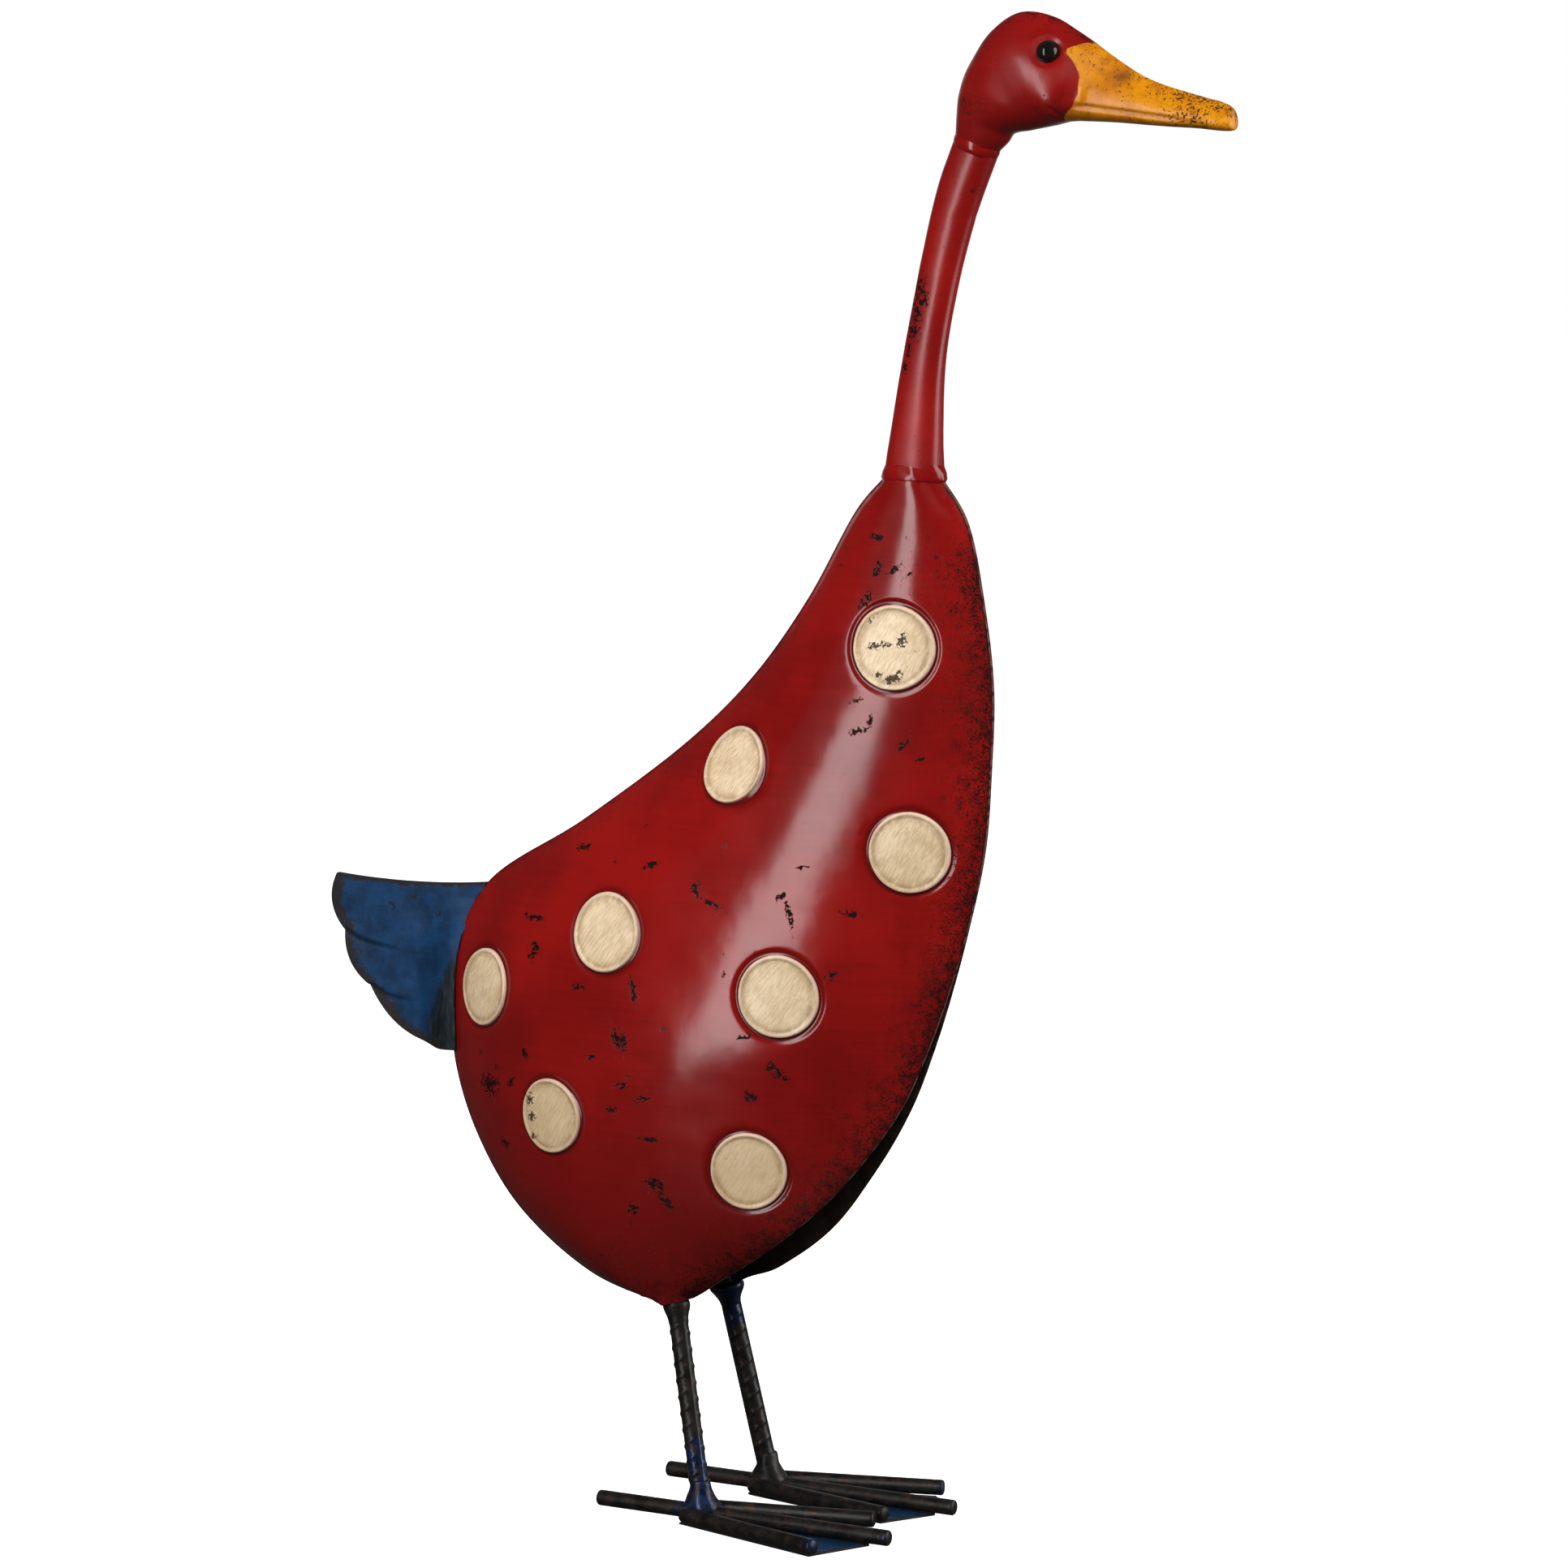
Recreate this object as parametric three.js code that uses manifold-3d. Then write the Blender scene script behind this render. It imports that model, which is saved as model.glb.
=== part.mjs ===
// A standing garden goose in painted sheet metal. Two domed body pressings meet in a seam along
// the back and the breast and stand apart below, where two ribbed bars leave them as legs. The
// neck, head, bill and tail are pressed halves too, and each foot is three round bars on a thin
// web plate.
//
// Millimetres. +X is the way the goose faces, +Z is up, and the seam lies in the plane y = 0. The
// right side has negative y. Every right-hand piece is made once and mirrored for the left.
import * as THREE from 'three';
import { mergeVertices } from 'three/addons/utils/BufferGeometryUtils.js';
import Module from 'manifold-3d';

const wasm = await Module();
wasm.setup();

// ---- Driving dimensions ----

const GAP = 0.3; // clear gap between pieces that touch
const SHEET = 1.2; // thickness of every pressed sheet

// The body's rims, from the neck down to the leg. Points of one index lie at the two ends of one rib.
const BACK_RIM = [
  [69, 523], [55, 508], [27, 462], [-3, 423], [-38, 390], [-102, 344], [-159, 308],
  [-178, 276], [-180, 246], [-176, 214], [-159.5, 182], [-129, 148], [-85, 118], [-43, 106],
];
const BREAST_RIM = [
  [101, 523], [114, 504], [124, 462], [129, 422], [128, 382], [125, 344], [116.5, 306],
  [105, 268], [95.5, 242], [83, 214], [60, 180], [30, 147], [-1, 124], [-25, 111],
];
// How far each rim stands off the seam plane, rib by rib: closed down to the tail, then opening
// to the legs.
const RIM_STANDOFF = [0, 0, 0, 0, 0, 0, 0, 1.5, 3, 5.5, 13, 22, 23.4, 24];
// How far the dome's crest stands off the seam plane, and where it lies from back (0) to breast
// (1), at even steps down.
const CREST_STANDOFF = [11, 15.5, 22.5, 31, 38, 43, 43, 39.4, 32.3];
const CREST_AT = [0.46, 0.4, 0.4, 0.43, 0.44, 0.4, 0.37, 0.34, 0.3];
const DOME_POWER_BACK = 1.85;
const DOME_POWER_BREAST = 2.1;
const BODY_RIBS = 24;
const BODY_STRIPS = 14;

// Embossed spots on each body pressing: [share from back to breast, share from neck to leg, size
// against the usual radius].
const SPOTS = [
  [0.618, 0.192, 1.02], [0.261, 0.321, 0.96], [0.855, 0.388, 0.99], [0.36, 0.492, 0.98],
  [0.11, 0.585, 0.96], [0.727, 0.543, 1.01], [0.299, 0.726, 0.92], [0.776, 0.77, 0.95],
];
const SPOT_RADIUS = 20;
const SPOT_HEIGHT = 1;
const SPOT_WALL = 1.2; // how far the wall leans out
const SPOT_ROOT = 0.5; // how far the spot's solid reaches into the sheet
const SPOT_SIDES = 16;

// Neck sections: centre x, centre z, tilt from level in degrees, half length fore and aft, half width.
const NECK_SECTIONS = [
  [85, 526.1, 0, 15.2, 11.5], [86.2, 541, 5, 12.6, 9.6], [89.5, 575, 8, 10.8, 8.4],
  [93.4, 598, 10, 10.2, 8], [101.1, 632.5, 15, 10.4, 8.2], [109, 660, 20, 11.2, 8.7],
  [118.1, 682.8, 22, 11.4, 9.2],
];
const NECK_RIBS = 12;

// Head and bill sections: the back or top rim point, the front or lower rim point, and the half
// width between.
const HEAD_SECTIONS = [
  [108, 689.6, 130.3, 680.7, 10], [108.8, 698.6, 136.3, 686.2, 12.5], [109.8, 707.1, 141.1, 689.7, 14.5],
  [113.1, 717.1, 146.3, 691.1, 16.5], [117.8, 725.6, 151, 692.2, 17.8], [125.6, 736.8, 154.9, 693, 18.5],
  [136.9, 745.3, 158.4, 693.8, 18.5], [147.7, 747.2, 161.4, 694.4, 17.5], [161, 744.2, 163.5, 695, 15.5],
  [172.2, 738.2, 165.7, 695.4, 13.4], [181.9, 732.3, 167.8, 695.8, 12],
];
const BILL_SECTIONS = [
  [182.3, 732, 168.2, 695.8, 12], [190.7, 726.5, 176.4, 696.1, 11.3], [204.8, 718.2, 193.5, 695.5, 10],
  [217.9, 713.1, 211.3, 694.4, 9.2], [237.3, 708, 234.5, 693.4, 8.5], [247.8, 705.4, 247.1, 692.6, 7.4],
  [252.6, 702.4, 252.4, 693.2, 4.6], [254.2, 699.3, 254.2, 696.3, 1.6],
];
const HEAD_SEGMENTS = 10; // facets from rim to rim on the neck, head and bill

const EYE_RADIUS = 5.5;
const EYE_CENTRE = [162.2, -12.4, 728.2];
const EYE_AXIS = [0.22, -0.93, 0.29];
const EYE_FACETS = [12, 8]; // round and down the ball
const EYE_HOLE_RADIUS = EYE_RADIUS + GAP;
const EYE_HOLE_DEPTH = 3 * EYE_RADIUS;
const EYE_HOLE_SIDES = 16;

// The tail's root line on the body, its upper corner, and its three feathers: [end x, end z, how
// far each bulges].
const TAIL_ROOT = [[-163, 307.6], [-169, 296], [-174, 282], [-176.5, 268], [-177.5, 250], [-176, 221]];
const TAIL_CORNER = [-251, 306];
const TAIL_FEATHERS = [[-246.5, 277, 5.5], [-231.5, 249, 5], [-182, 220.8, 8.5]];
const TAIL_DIP = 2.2; // how far the upper edge sags
const TAIL_DIP_REACH = 1 / 3; // share of the way down the tail over which the sag fades out
const TAIL_LAP = 4; // flat width that laps the body
const TAIL_BEND = 26; // length over which the two halves come together
const TAIL_RIBS = 18;
const TAIL_STRIPS = 6;

// Legs: a ribbed bar from inside the body's lower tip down to the foot's middle bar.
const LEG_TOP = [-37.5, -24, 121];
const LEG_FOOT = [-15.4, -34.1, 11.1];
const LEG_RADIUS = 4.6;
const LEG_RIB_HEIGHT = 0.5;
const LEG_RIB_PITCH = 8.2;
const LEG_RIB_WIDTH = 3;
const LEG_SIDES = 8;

// Feet: bars laid on a web plate that rests on the ground. Each bar is [rear x, rear y, front x,
// front y].
const TOE_RADIUS = 4;
const TOE_SIDES = 12;
const WEB_THICKNESS = 1.2;
const TOE_HEIGHT = WEB_THICKNESS + GAP + TOE_RADIUS;
const TOE_BARS = {
  toe_middle: [-74.8, -34.3, 91.2, -34.3],
  toe_outer: [-20.5, -43.6, 67.3, -67.8],
  toe_inner: [-20.5, -25, 67.3, -5.5],
};
const WEB_OUTLINE = [[-23, -40], [64, -66], [80, -34.3], [64, -7.5], [-23, -28.6]];

// Weld beads: [height along the bar, radius] from the bottom up, round a bore that clears the leg.
const WELD_BORE = LEG_RADIUS + LEG_RIB_HEIGHT + GAP;
const HIP_WELD = [[0, 5.9], [4, 6.6], [8, 7.6]];
const HIP_WELD_AT = 0.785; // share of the leg's length, from the foot up
const ANKLE_WELD = [[0, 11.5], [2.5, 10.5], [5, 8.4], [8, 7.3]];
const ANKLE_WELD_AT = [-16, -33.8, 2 * TOE_RADIUS + WEB_THICKNESS + 2 * GAP];
const ANKLE_WELD_BORE = WELD_BORE + 1; // upright, so it clears the leaning leg
const WELD_SIDES = 12;
const NECK_BEAD_HEIGHT = 1.8;
const BASE_BEAD = { x: 85, z: 523.55, tilt: 0, length: 16, width: 12.3 };
const TOP_BEAD = { x: 118.2, z: 683.3, tilt: 22, length: 12, width: 9.9 };
const BEAD_WIDTH = 2.6;
const BEAD_CROWN = 1 / 3; // share of the bead's width that its rounded edge takes

// ---- Solids from grids of points ----

// Turns a closed geometry's faces outwards by the sign of its volume.
function facingOut(geometry) {
  const position = geometry.getAttribute('position');
  const index = geometry.getIndex().array;
  const [a, b, c] = [new THREE.Vector3(), new THREE.Vector3(), new THREE.Vector3()];
  let volume = 0;
  for (let i = 0; i < index.length; i += 3) {
    a.fromBufferAttribute(position, index[i]);
    b.fromBufferAttribute(position, index[i + 1]);
    c.fromBufferAttribute(position, index[i + 2]);
    volume += a.dot(b.cross(c));
  }
  if (volume < 0) {
    for (let i = 0; i < index.length; i += 3) {
      [index[i + 1], index[i + 2]] = [index[i + 2], index[i + 1]];
    }
  }
  return geometry;
}

// A closed sheet between two grids of [x, y, z] points with the same rows and columns.
function sheetBetween(outer, inner) {
  const rows = outer.length;
  const columns = outer[0].length;
  const index = [];
  const quad = (a, b, c, d) => index.push(a, b, c, a, c, d);
  const out = (i, j) => i * columns + j;
  const ins = (i, j) => (rows + i) * columns + j;
  for (let i = 0; i < rows - 1; i++) {
    for (let j = 0; j < columns - 1; j++) {
      quad(out(i, j), out(i, j + 1), out(i + 1, j + 1), out(i + 1, j));
      quad(ins(i, j), ins(i + 1, j), ins(i + 1, j + 1), ins(i, j + 1));
    }
    quad(out(i, 0), out(i + 1, 0), ins(i + 1, 0), ins(i, 0));
    quad(out(i, columns - 1), ins(i, columns - 1), ins(i + 1, columns - 1), out(i + 1, columns - 1));
  }
  for (let j = 0; j < columns - 1; j++) {
    quad(out(0, j), ins(0, j), ins(0, j + 1), out(0, j + 1));
    quad(out(rows - 1, j), out(rows - 1, j + 1), ins(rows - 1, j + 1), ins(rows - 1, j));
  }
  return fromPoints([...outer.flat(), ...inner.flat()], index);
}

function fromPoints(points, index) {
  const geometry = new THREE.BufferGeometry();
  geometry.setAttribute('position', new THREE.Float32BufferAttribute(points.flat(), 3));
  geometry.setIndex(index);
  return facingOut(geometry);
}

function grid(rows, columns, point) {
  return Array.from({ length: rows }, (_, i) => (
    Array.from({ length: columns }, (_, j) => point(i / (rows - 1), j / (columns - 1)))
  ));
}

function mirrored(geometry) {
  return facingOut(merged(geometry).scale(1, -1, 1));
}

// ---- Joining and cutting ----

function merged(geometry) {
  const bare = geometry.clone();
  bare.deleteAttribute('normal');
  bare.deleteAttribute('uv');
  return mergeVertices(bare);
}

function toSolid(geometry) {
  const bare = merged(geometry);
  return new wasm.Manifold(new wasm.Mesh({
    numProp: 3,
    vertProperties: new Float32Array(bare.getAttribute('position').array),
    triVerts: new Uint32Array(bare.getIndex().array),
  }));
}

function toGeometry(solid) {
  const mesh = solid.getMesh();
  const geometry = new THREE.BufferGeometry();
  geometry.setAttribute('position', new THREE.BufferAttribute(mesh.vertProperties, mesh.numProp));
  geometry.setIndex(new THREE.BufferAttribute(mesh.triVerts, 1));
  return geometry;
}

// ---- Body ----

const curveThrough = (points) => (
  new THREE.CatmullRomCurve3(points.map(([x, z]) => new THREE.Vector3(x, 0, z)), false, 'centripetal')
);
const backRim = curveThrough(BACK_RIM);
const breastRim = curveThrough(BREAST_RIM);

// The value at a share t of the way along a list of evenly spaced values.
function alongList(values, t) {
  const place = THREE.MathUtils.clamp(t, 0, 1) * (values.length - 1);
  const start = Math.min(Math.floor(place), values.length - 2);
  const [before, from, to, after] = [-1, 0, 1, 2].map((step) => (
    values[THREE.MathUtils.clamp(start + step, 0, values.length - 1)]
  ));
  const s = place - start;
  const [slopeFrom, slopeTo] = [(to - before) / 2, (after - from) / 2];
  return (
    from * (1 + 2 * s) * (1 - s) ** 2 + slopeFrom * s * (1 - s) ** 2
    + to * s ** 2 * (3 - 2 * s) + slopeTo * s ** 2 * (s - 1)
  );
}

// A point on the outside of the right body pressing, across from back to breast and down from
// neck to leg.
function bodyPoint(across, down) {
  const back = backRim.getPoint(down);
  const breast = breastRim.getPoint(down);
  const crest = alongList(CREST_AT, down);
  const onBack = across < crest;
  const fromCrest = onBack ? (crest - across) / crest : (across - crest) / (1 - crest);
  const power = onBack ? DOME_POWER_BACK : DOME_POWER_BREAST;
  const standoff = Math.max(0, alongList(RIM_STANDOFF, down));
  const rise = (alongList(CREST_STANDOFF, down) - standoff) * (1 - fromCrest ** power);
  const plan = back.lerp(breast, across);
  return [plan.x, -(GAP / 2 + SHEET + standoff + rise), plan.z];
}

const HALVINGS = 30; // enough to find a rib to well under a micrometre

// The outside of the right body pressing at a place in side view.
function bodyPointAt(x, z) {
  let [above, below] = [0, 1];
  const side = (down) => {
    const back = backRim.getPoint(down);
    const breast = breastRim.getPoint(down);
    return (breast.x - back.x) * (z - back.z) - (breast.z - back.z) * (x - back.x);
  };
  for (let step = 0; step < HALVINGS; step++) {
    const middle = (above + below) / 2;
    if (side(middle) < 0) {
      above = middle;
    } else {
      below = middle;
    }
  }
  const back = backRim.getPoint(above);
  const breast = breastRim.getPoint(above);
  const across = (x - back.x) / (breast.x - back.x);
  return bodyPoint(THREE.MathUtils.clamp(across, 0, 1), above);
}

function bodyNormal(across, down) {
  const step = 1e-3; // share of the way across or down
  const at = (a, d) => new THREE.Vector3(...bodyPoint(a, d));
  const alongAcross = at(across + step, down).sub(at(across - step, down));
  const alongDown = at(across, down + step).sub(at(across, down - step));
  const normal = alongAcross.cross(alongDown).normalize();
  return normal.y > 0 ? normal.negate() : normal;
}

// A low round table with a leaning wall that follows the dome.
function embossedSpot([across, down, size]) {
  const centre = new THREE.Vector3(...bodyPoint(across, down));
  const normal = bodyNormal(across, down);
  const level = new THREE.Vector3().crossVectors(normal, new THREE.Vector3(0, 0, 1)).normalize();
  const uphill = new THREE.Vector3().crossVectors(level, normal);
  const ring = (reach, lift) => Array.from({ length: SPOT_SIDES }, (_, k) => {
    const angle = (2 * Math.PI * k) / SPOT_SIDES;
    const flat = centre.clone()
      .addScaledVector(level, reach * Math.cos(angle))
      .addScaledVector(uphill, reach * Math.sin(angle));
    return new THREE.Vector3(...bodyPointAt(flat.x, flat.z)).addScaledVector(normal, lift).toArray();
  });
  const radius = SPOT_RADIUS * size;
  const rings = [
    ring(radius / 2, SPOT_HEIGHT), ring(radius, SPOT_HEIGHT),
    ring(radius + SPOT_WALL, -SPOT_ROOT), ring(radius / 2, -SPOT_ROOT),
  ];
  const tip = centre.clone().addScaledVector(normal, SPOT_HEIGHT).toArray();
  const root = centre.clone().addScaledVector(normal, -SPOT_ROOT).toArray();
  return closedRings(rings, tip, root);
}

// A closed solid through rings of points, with a fan to a first and a last point.
function closedRings(rings, first, last) {
  const sides = rings[0].length;
  const index = [];
  const at = (i, j) => 1 + i * sides + (j % sides);
  const end = 1 + rings.length * sides;
  for (let j = 0; j < sides; j++) {
    index.push(0, at(0, j), at(0, j + 1));
    for (let i = 0; i < rings.length - 1; i++) {
      index.push(at(i, j), at(i + 1, j), at(i + 1, j + 1), at(i, j), at(i + 1, j + 1), at(i, j + 1));
    }
    index.push(end, at(rings.length - 1, j + 1), at(rings.length - 1, j));
  }
  return fromPoints([first, ...rings.flat(), last], index);
}

function bodyShell() {
  const outer = grid(BODY_RIBS + 1, BODY_STRIPS + 1, (down, across) => bodyPoint(across, down));
  const inner = outer.map((row) => row.map(([x, y, z]) => [x, y + SHEET, z]));
  const shell = SPOTS.reduce(
    (solid, spot) => solid.add(toSolid(embossedSpot(spot))),
    toSolid(sheetBetween(outer, inner)),
  );
  return toGeometry(shell);
}

// ---- Neck, head and bill ----

// Half an oval from the back rim round the right side to the front rim. A thinner half lies inside it.
function halfOval([backX, backZ, frontX, frontZ, width], inset, turn) {
  const half = Math.hypot(frontX - backX, frontZ - backZ) / 2;
  const length = 1 - inset / half;
  const forward = -Math.cos(Math.PI * turn) * length;
  const x = (backX + frontX) / 2 + (forward * (frontX - backX)) / 2;
  const z = (backZ + frontZ) / 2 + (forward * (frontZ - backZ)) / 2;
  return [x, -(GAP / 2 + (width - inset) * Math.sin(Math.PI * turn)), z];
}

// A pressed half shell through a list of sections, with as many ribs as asked for.
function halfShell(sections, ribs) {
  const section = (t) => [0, 1, 2, 3, 4].map((k) => alongList(sections.map((s) => s[k]), t));
  const skin = (inset) => grid(ribs, HEAD_SEGMENTS + 1, (t, turn) => halfOval(section(t), inset, turn));
  return sheetBetween(skin(0), skin(SHEET));
}

function neckShell() {
  const sections = NECK_SECTIONS.map(([x, z, tilt, length, width]) => {
    const slope = THREE.MathUtils.degToRad(tilt);
    const [stepX, stepZ] = [length * Math.cos(slope), length * Math.sin(slope)];
    return [x - stepX, z + stepZ, x + stepX, z - stepZ, width];
  });
  return halfShell(sections, NECK_RIBS);
}

function headShell() {
  const [radius, depth] = [EYE_HOLE_RADIUS, EYE_HOLE_DEPTH];
  const hole = new THREE.CylinderGeometry(radius, radius, depth, EYE_HOLE_SIDES);
  const upright = new THREE.Vector3(0, 1, 0);
  hole.applyQuaternion(new THREE.Quaternion().setFromUnitVectors(upright, eyeAxis()));
  hole.translate(...EYE_CENTRE);
  return toGeometry(toSolid(halfShell(HEAD_SECTIONS, HEAD_SECTIONS.length)).subtract(toSolid(hole)));
}

function eyeAxis() {
  return new THREE.Vector3(...EYE_AXIS).normalize();
}

// The bill's inner skin stops short of the outer one, so that its tip is closed.
function billShell() {
  const outer = grid(BILL_SECTIONS.length, HEAD_SEGMENTS + 1, (t, turn) => (
    halfOval(BILL_SECTIONS[Math.round(t * (BILL_SECTIONS.length - 1))], 0, turn)
  ));
  const inner = grid(BILL_SECTIONS.length, HEAD_SEGMENTS + 1, (t, turn) => {
    const section = BILL_SECTIONS[Math.round(t * (BILL_SECTIONS.length - 1))];
    const [x, y, z] = halfOval(section, Math.min(SHEET, section[4] / 2), turn);
    return [x - SHEET * t, y, z];
  });
  return sheetBetween(outer, inner);
}

// ---- Tail ----

function tailEdge(t) {
  const place = Math.min(t * TAIL_FEATHERS.length, TAIL_FEATHERS.length - 1e-9);
  const feather = Math.floor(place);
  const s = place - feather;
  const [endX, endZ, bulge] = TAIL_FEATHERS[feather];
  const [startX, startZ] = feather === 0 ? TAIL_CORNER : TAIL_FEATHERS[feather - 1];
  const length = Math.hypot(endX - startX, endZ - startZ);
  const swell = (4 * s * (1 - s) * bulge) / length;
  const x = THREE.MathUtils.lerp(startX, endX, s) + swell * (endZ - startZ);
  const z = THREE.MathUtils.lerp(startZ, endZ, s) - swell * (endX - startX);
  return new THREE.Vector3(x, 0, z);
}

// The right half of the tail: its root laps the body's outside, and it bends in to meet the other half.
function tailHalf() {
  const rootLine = curveThrough(TAIL_ROOT);
  const skin = (inset) => grid(TAIL_RIBS + 1, TAIL_STRIPS + 1, (down, out) => {
    const root = rootLine.getPoint(down);
    const edge = tailEdge(down);
    const reach = root.distanceTo(edge);
    const [x, z] = [root.x + (edge.x - root.x) * out, root.z + (edge.z - root.z) * out];
    const dip = 4 * TAIL_DIP * out * (1 - out) * Math.max(0, 1 - down / TAIL_DIP_REACH);
    const standoff = -bodyPointAt(root.x, root.z)[1] + GAP;
    const closing = THREE.MathUtils.smoothstep(out * reach, TAIL_LAP, TAIL_LAP + TAIL_BEND);
    const y = THREE.MathUtils.lerp(standoff, GAP / 2, closing) + SHEET - inset;
    return [x, -y, z - dip];
  });
  return sheetBetween(skin(0), skin(SHEET));
}

// ---- Legs and feet ----

function ribbedBar(length) {
  const profile = [new THREE.Vector2(0, 0), new THREE.Vector2(LEG_RADIUS, 0)];
  for (let rib = LEG_RIB_PITCH; rib < length - LEG_RIB_PITCH / 2; rib += LEG_RIB_PITCH) {
    profile.push(new THREE.Vector2(LEG_RADIUS, rib - LEG_RIB_WIDTH / 2));
    profile.push(new THREE.Vector2(LEG_RADIUS + LEG_RIB_HEIGHT, rib));
    profile.push(new THREE.Vector2(LEG_RADIUS, rib + LEG_RIB_WIDTH / 2));
  }
  profile.push(new THREE.Vector2(LEG_RADIUS, length), new THREE.Vector2(0, length));
  return new THREE.LatheGeometry(profile, LEG_SIDES);
}

// A collar on the +Y axis with a straight bore.
function weldCollar(profile, bore) {
  const outline = [
    new THREE.Vector2(bore, profile[0][0]),
    ...profile.map(([height, radius]) => new THREE.Vector2(radius, height)),
    new THREE.Vector2(bore, profile.at(-1)[0]),
    new THREE.Vector2(bore, profile[0][0]),
  ];
  return facingOut(merged(new THREE.LatheGeometry(outline, WELD_SIDES)));
}

// An oval bead in the joint between two tubes.
function weldBead({ x, z, tilt, length, width }) {
  const high = NECK_BEAD_HEIGHT / 2;
  const bore = 1 - BEAD_WIDTH / length;
  const shoulder = 1 - (BEAD_WIDTH * BEAD_CROWN) / length;
  const outline = [
    [1, -high / 2], [1, high / 2], [shoulder, high], [bore, high],
    [bore, -high], [shoulder, -high], [1, -high / 2],
  ].map(([radius, height]) => new THREE.Vector2(radius, height));
  const bead = new THREE.LatheGeometry(outline, 2 * WELD_SIDES);
  bead.rotateX(Math.PI / 2);
  bead.scale(length, width, 1);
  bead.rotateY(THREE.MathUtils.degToRad(tilt));
  bead.translate(x, 0, z + NECK_BEAD_HEIGHT / 2);
  return facingOut(merged(bead));
}

function webPlate() {
  const outline = new THREE.Shape(WEB_OUTLINE.map(([x, y]) => new THREE.Vector2(x, y)));
  return new THREE.ExtrudeGeometry(outline, { depth: WEB_THICKNESS, bevelEnabled: false });
}

// ---- Materials ----

const paint = (color, roughness, metalness = 0.1) => (
  new THREE.MeshStandardMaterial({ color, roughness, metalness })
);
const redPaint = () => paint(0x96181a, 0.32);
const billPaint = () => paint(0xe09a22, 0.4);
const bluePaint = () => paint(0x1c3e69, 0.45);
const darkIron = () => paint(0x1d1a1c, 0.55, 0.4);
const blackBead = () => paint(0x0a0a0b, 0.08);

// ---- Assembly ----

const goose = new THREE.Group();

function addPiece(parent, name, geometry, material) {
  const mesh = new THREE.Mesh(geometry, material);
  mesh.name = name;
  parent.add(mesh);
  return mesh;
}

function addPair(parent, name, geometry, material) {
  addPiece(parent, `${name}_right`, geometry, material());
  addPiece(parent, `${name}_left`, mirrored(geometry), material());
}

// Adds a piece made along +Y between two points, on the right and mirrored on the left.
function addBarPair(parent, name, geometry, material, from, to) {
  for (const [side, sign] of [['right', 1], ['left', -1]]) {
    const start = new THREE.Vector3(from[0], sign * from[1], from[2]);
    const end = new THREE.Vector3(to[0], sign * to[1], to[2]);
    const piece = addPiece(parent, `${name}_${side}`, geometry, material());
    piece.position.copy(start);
    piece.quaternion.setFromUnitVectors(new THREE.Vector3(0, 1, 0), end.sub(start).normalize());
  }
}

function addBody() {
  const body = new THREE.Group();
  addPair(body, 'body_shell', bodyShell(), redPaint);
  addPair(body, 'tail', tailHalf(), bluePaint);
  goose.add(body);
}

function addHeadAndNeck() {
  const upper = new THREE.Group();
  addPair(upper, 'neck_shell', neckShell(), redPaint);
  addPair(upper, 'head_shell', headShell(), redPaint);
  addPair(upper, 'bill', billShell(), billPaint);
  addPiece(upper, 'neck_base_weld', weldBead(BASE_BEAD), redPaint());
  addPiece(upper, 'neck_top_weld', weldBead(TOP_BEAD), redPaint());
  for (const [side, sign] of [['right', 1], ['left', -1]]) {
    const ball = new THREE.SphereGeometry(EYE_RADIUS, ...EYE_FACETS);
    const eye = addPiece(upper, `eye_${side}`, ball, blackBead());
    eye.position.set(EYE_CENTRE[0], sign * EYE_CENTRE[1], EYE_CENTRE[2]);
  }
  goose.add(upper);
}

function addLegs() {
  const legs = new THREE.Group();
  const top = new THREE.Vector3(...LEG_TOP);
  const foot = new THREE.Vector3(...LEG_FOOT);
  addBarPair(legs, 'leg', ribbedBar(foot.distanceTo(top)), darkIron, LEG_FOOT, LEG_TOP);
  const hip = foot.clone().lerp(top, HIP_WELD_AT).toArray();
  addBarPair(legs, 'hip_weld', weldCollar(HIP_WELD, WELD_BORE), darkIron, hip, LEG_TOP);
  goose.add(legs);
}

function addFeet() {
  const feet = new THREE.Group();
  for (const [name, [rearX, rearY, frontX, frontY]] of Object.entries(TOE_BARS)) {
    const length = Math.hypot(frontX - rearX, frontY - rearY);
    const bar = new THREE.CylinderGeometry(TOE_RADIUS, TOE_RADIUS, length, TOE_SIDES);
    bar.translate(0, length / 2, 0);
    addBarPair(feet, name, bar, darkIron, [rearX, rearY, TOE_HEIGHT], [frontX, frontY, TOE_HEIGHT]);
  }
  addPair(feet, 'foot_web', webPlate(), bluePaint);
  const [x, y, z] = ANKLE_WELD_AT;
  const collar = weldCollar(ANKLE_WELD, ANKLE_WELD_BORE);
  addBarPair(feet, 'ankle_weld', collar, darkIron, [x, y, z], [x, y, z + 1]);
  goose.add(feet);
}

addBody();
addHeadAndNeck();
addLegs();
addFeet();

export default goose;
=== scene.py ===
"""The painted look of a sheet-metal garden goose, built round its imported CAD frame.

The shape code works in millimetres, in the frame's own axes: +X is the way the goose faces, +Z is up, and
the seam between its two halves is the plane y = 0. Pieces are shaped on the right (negative y) and mirrored
for the left. Places are measured from the corners of the CAD nodes' boxes.
"""
import math

import bmesh
import bpy
import numpy as np
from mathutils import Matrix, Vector, noise
from mathutils.geometry import delaunay_2d_cdt


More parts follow.
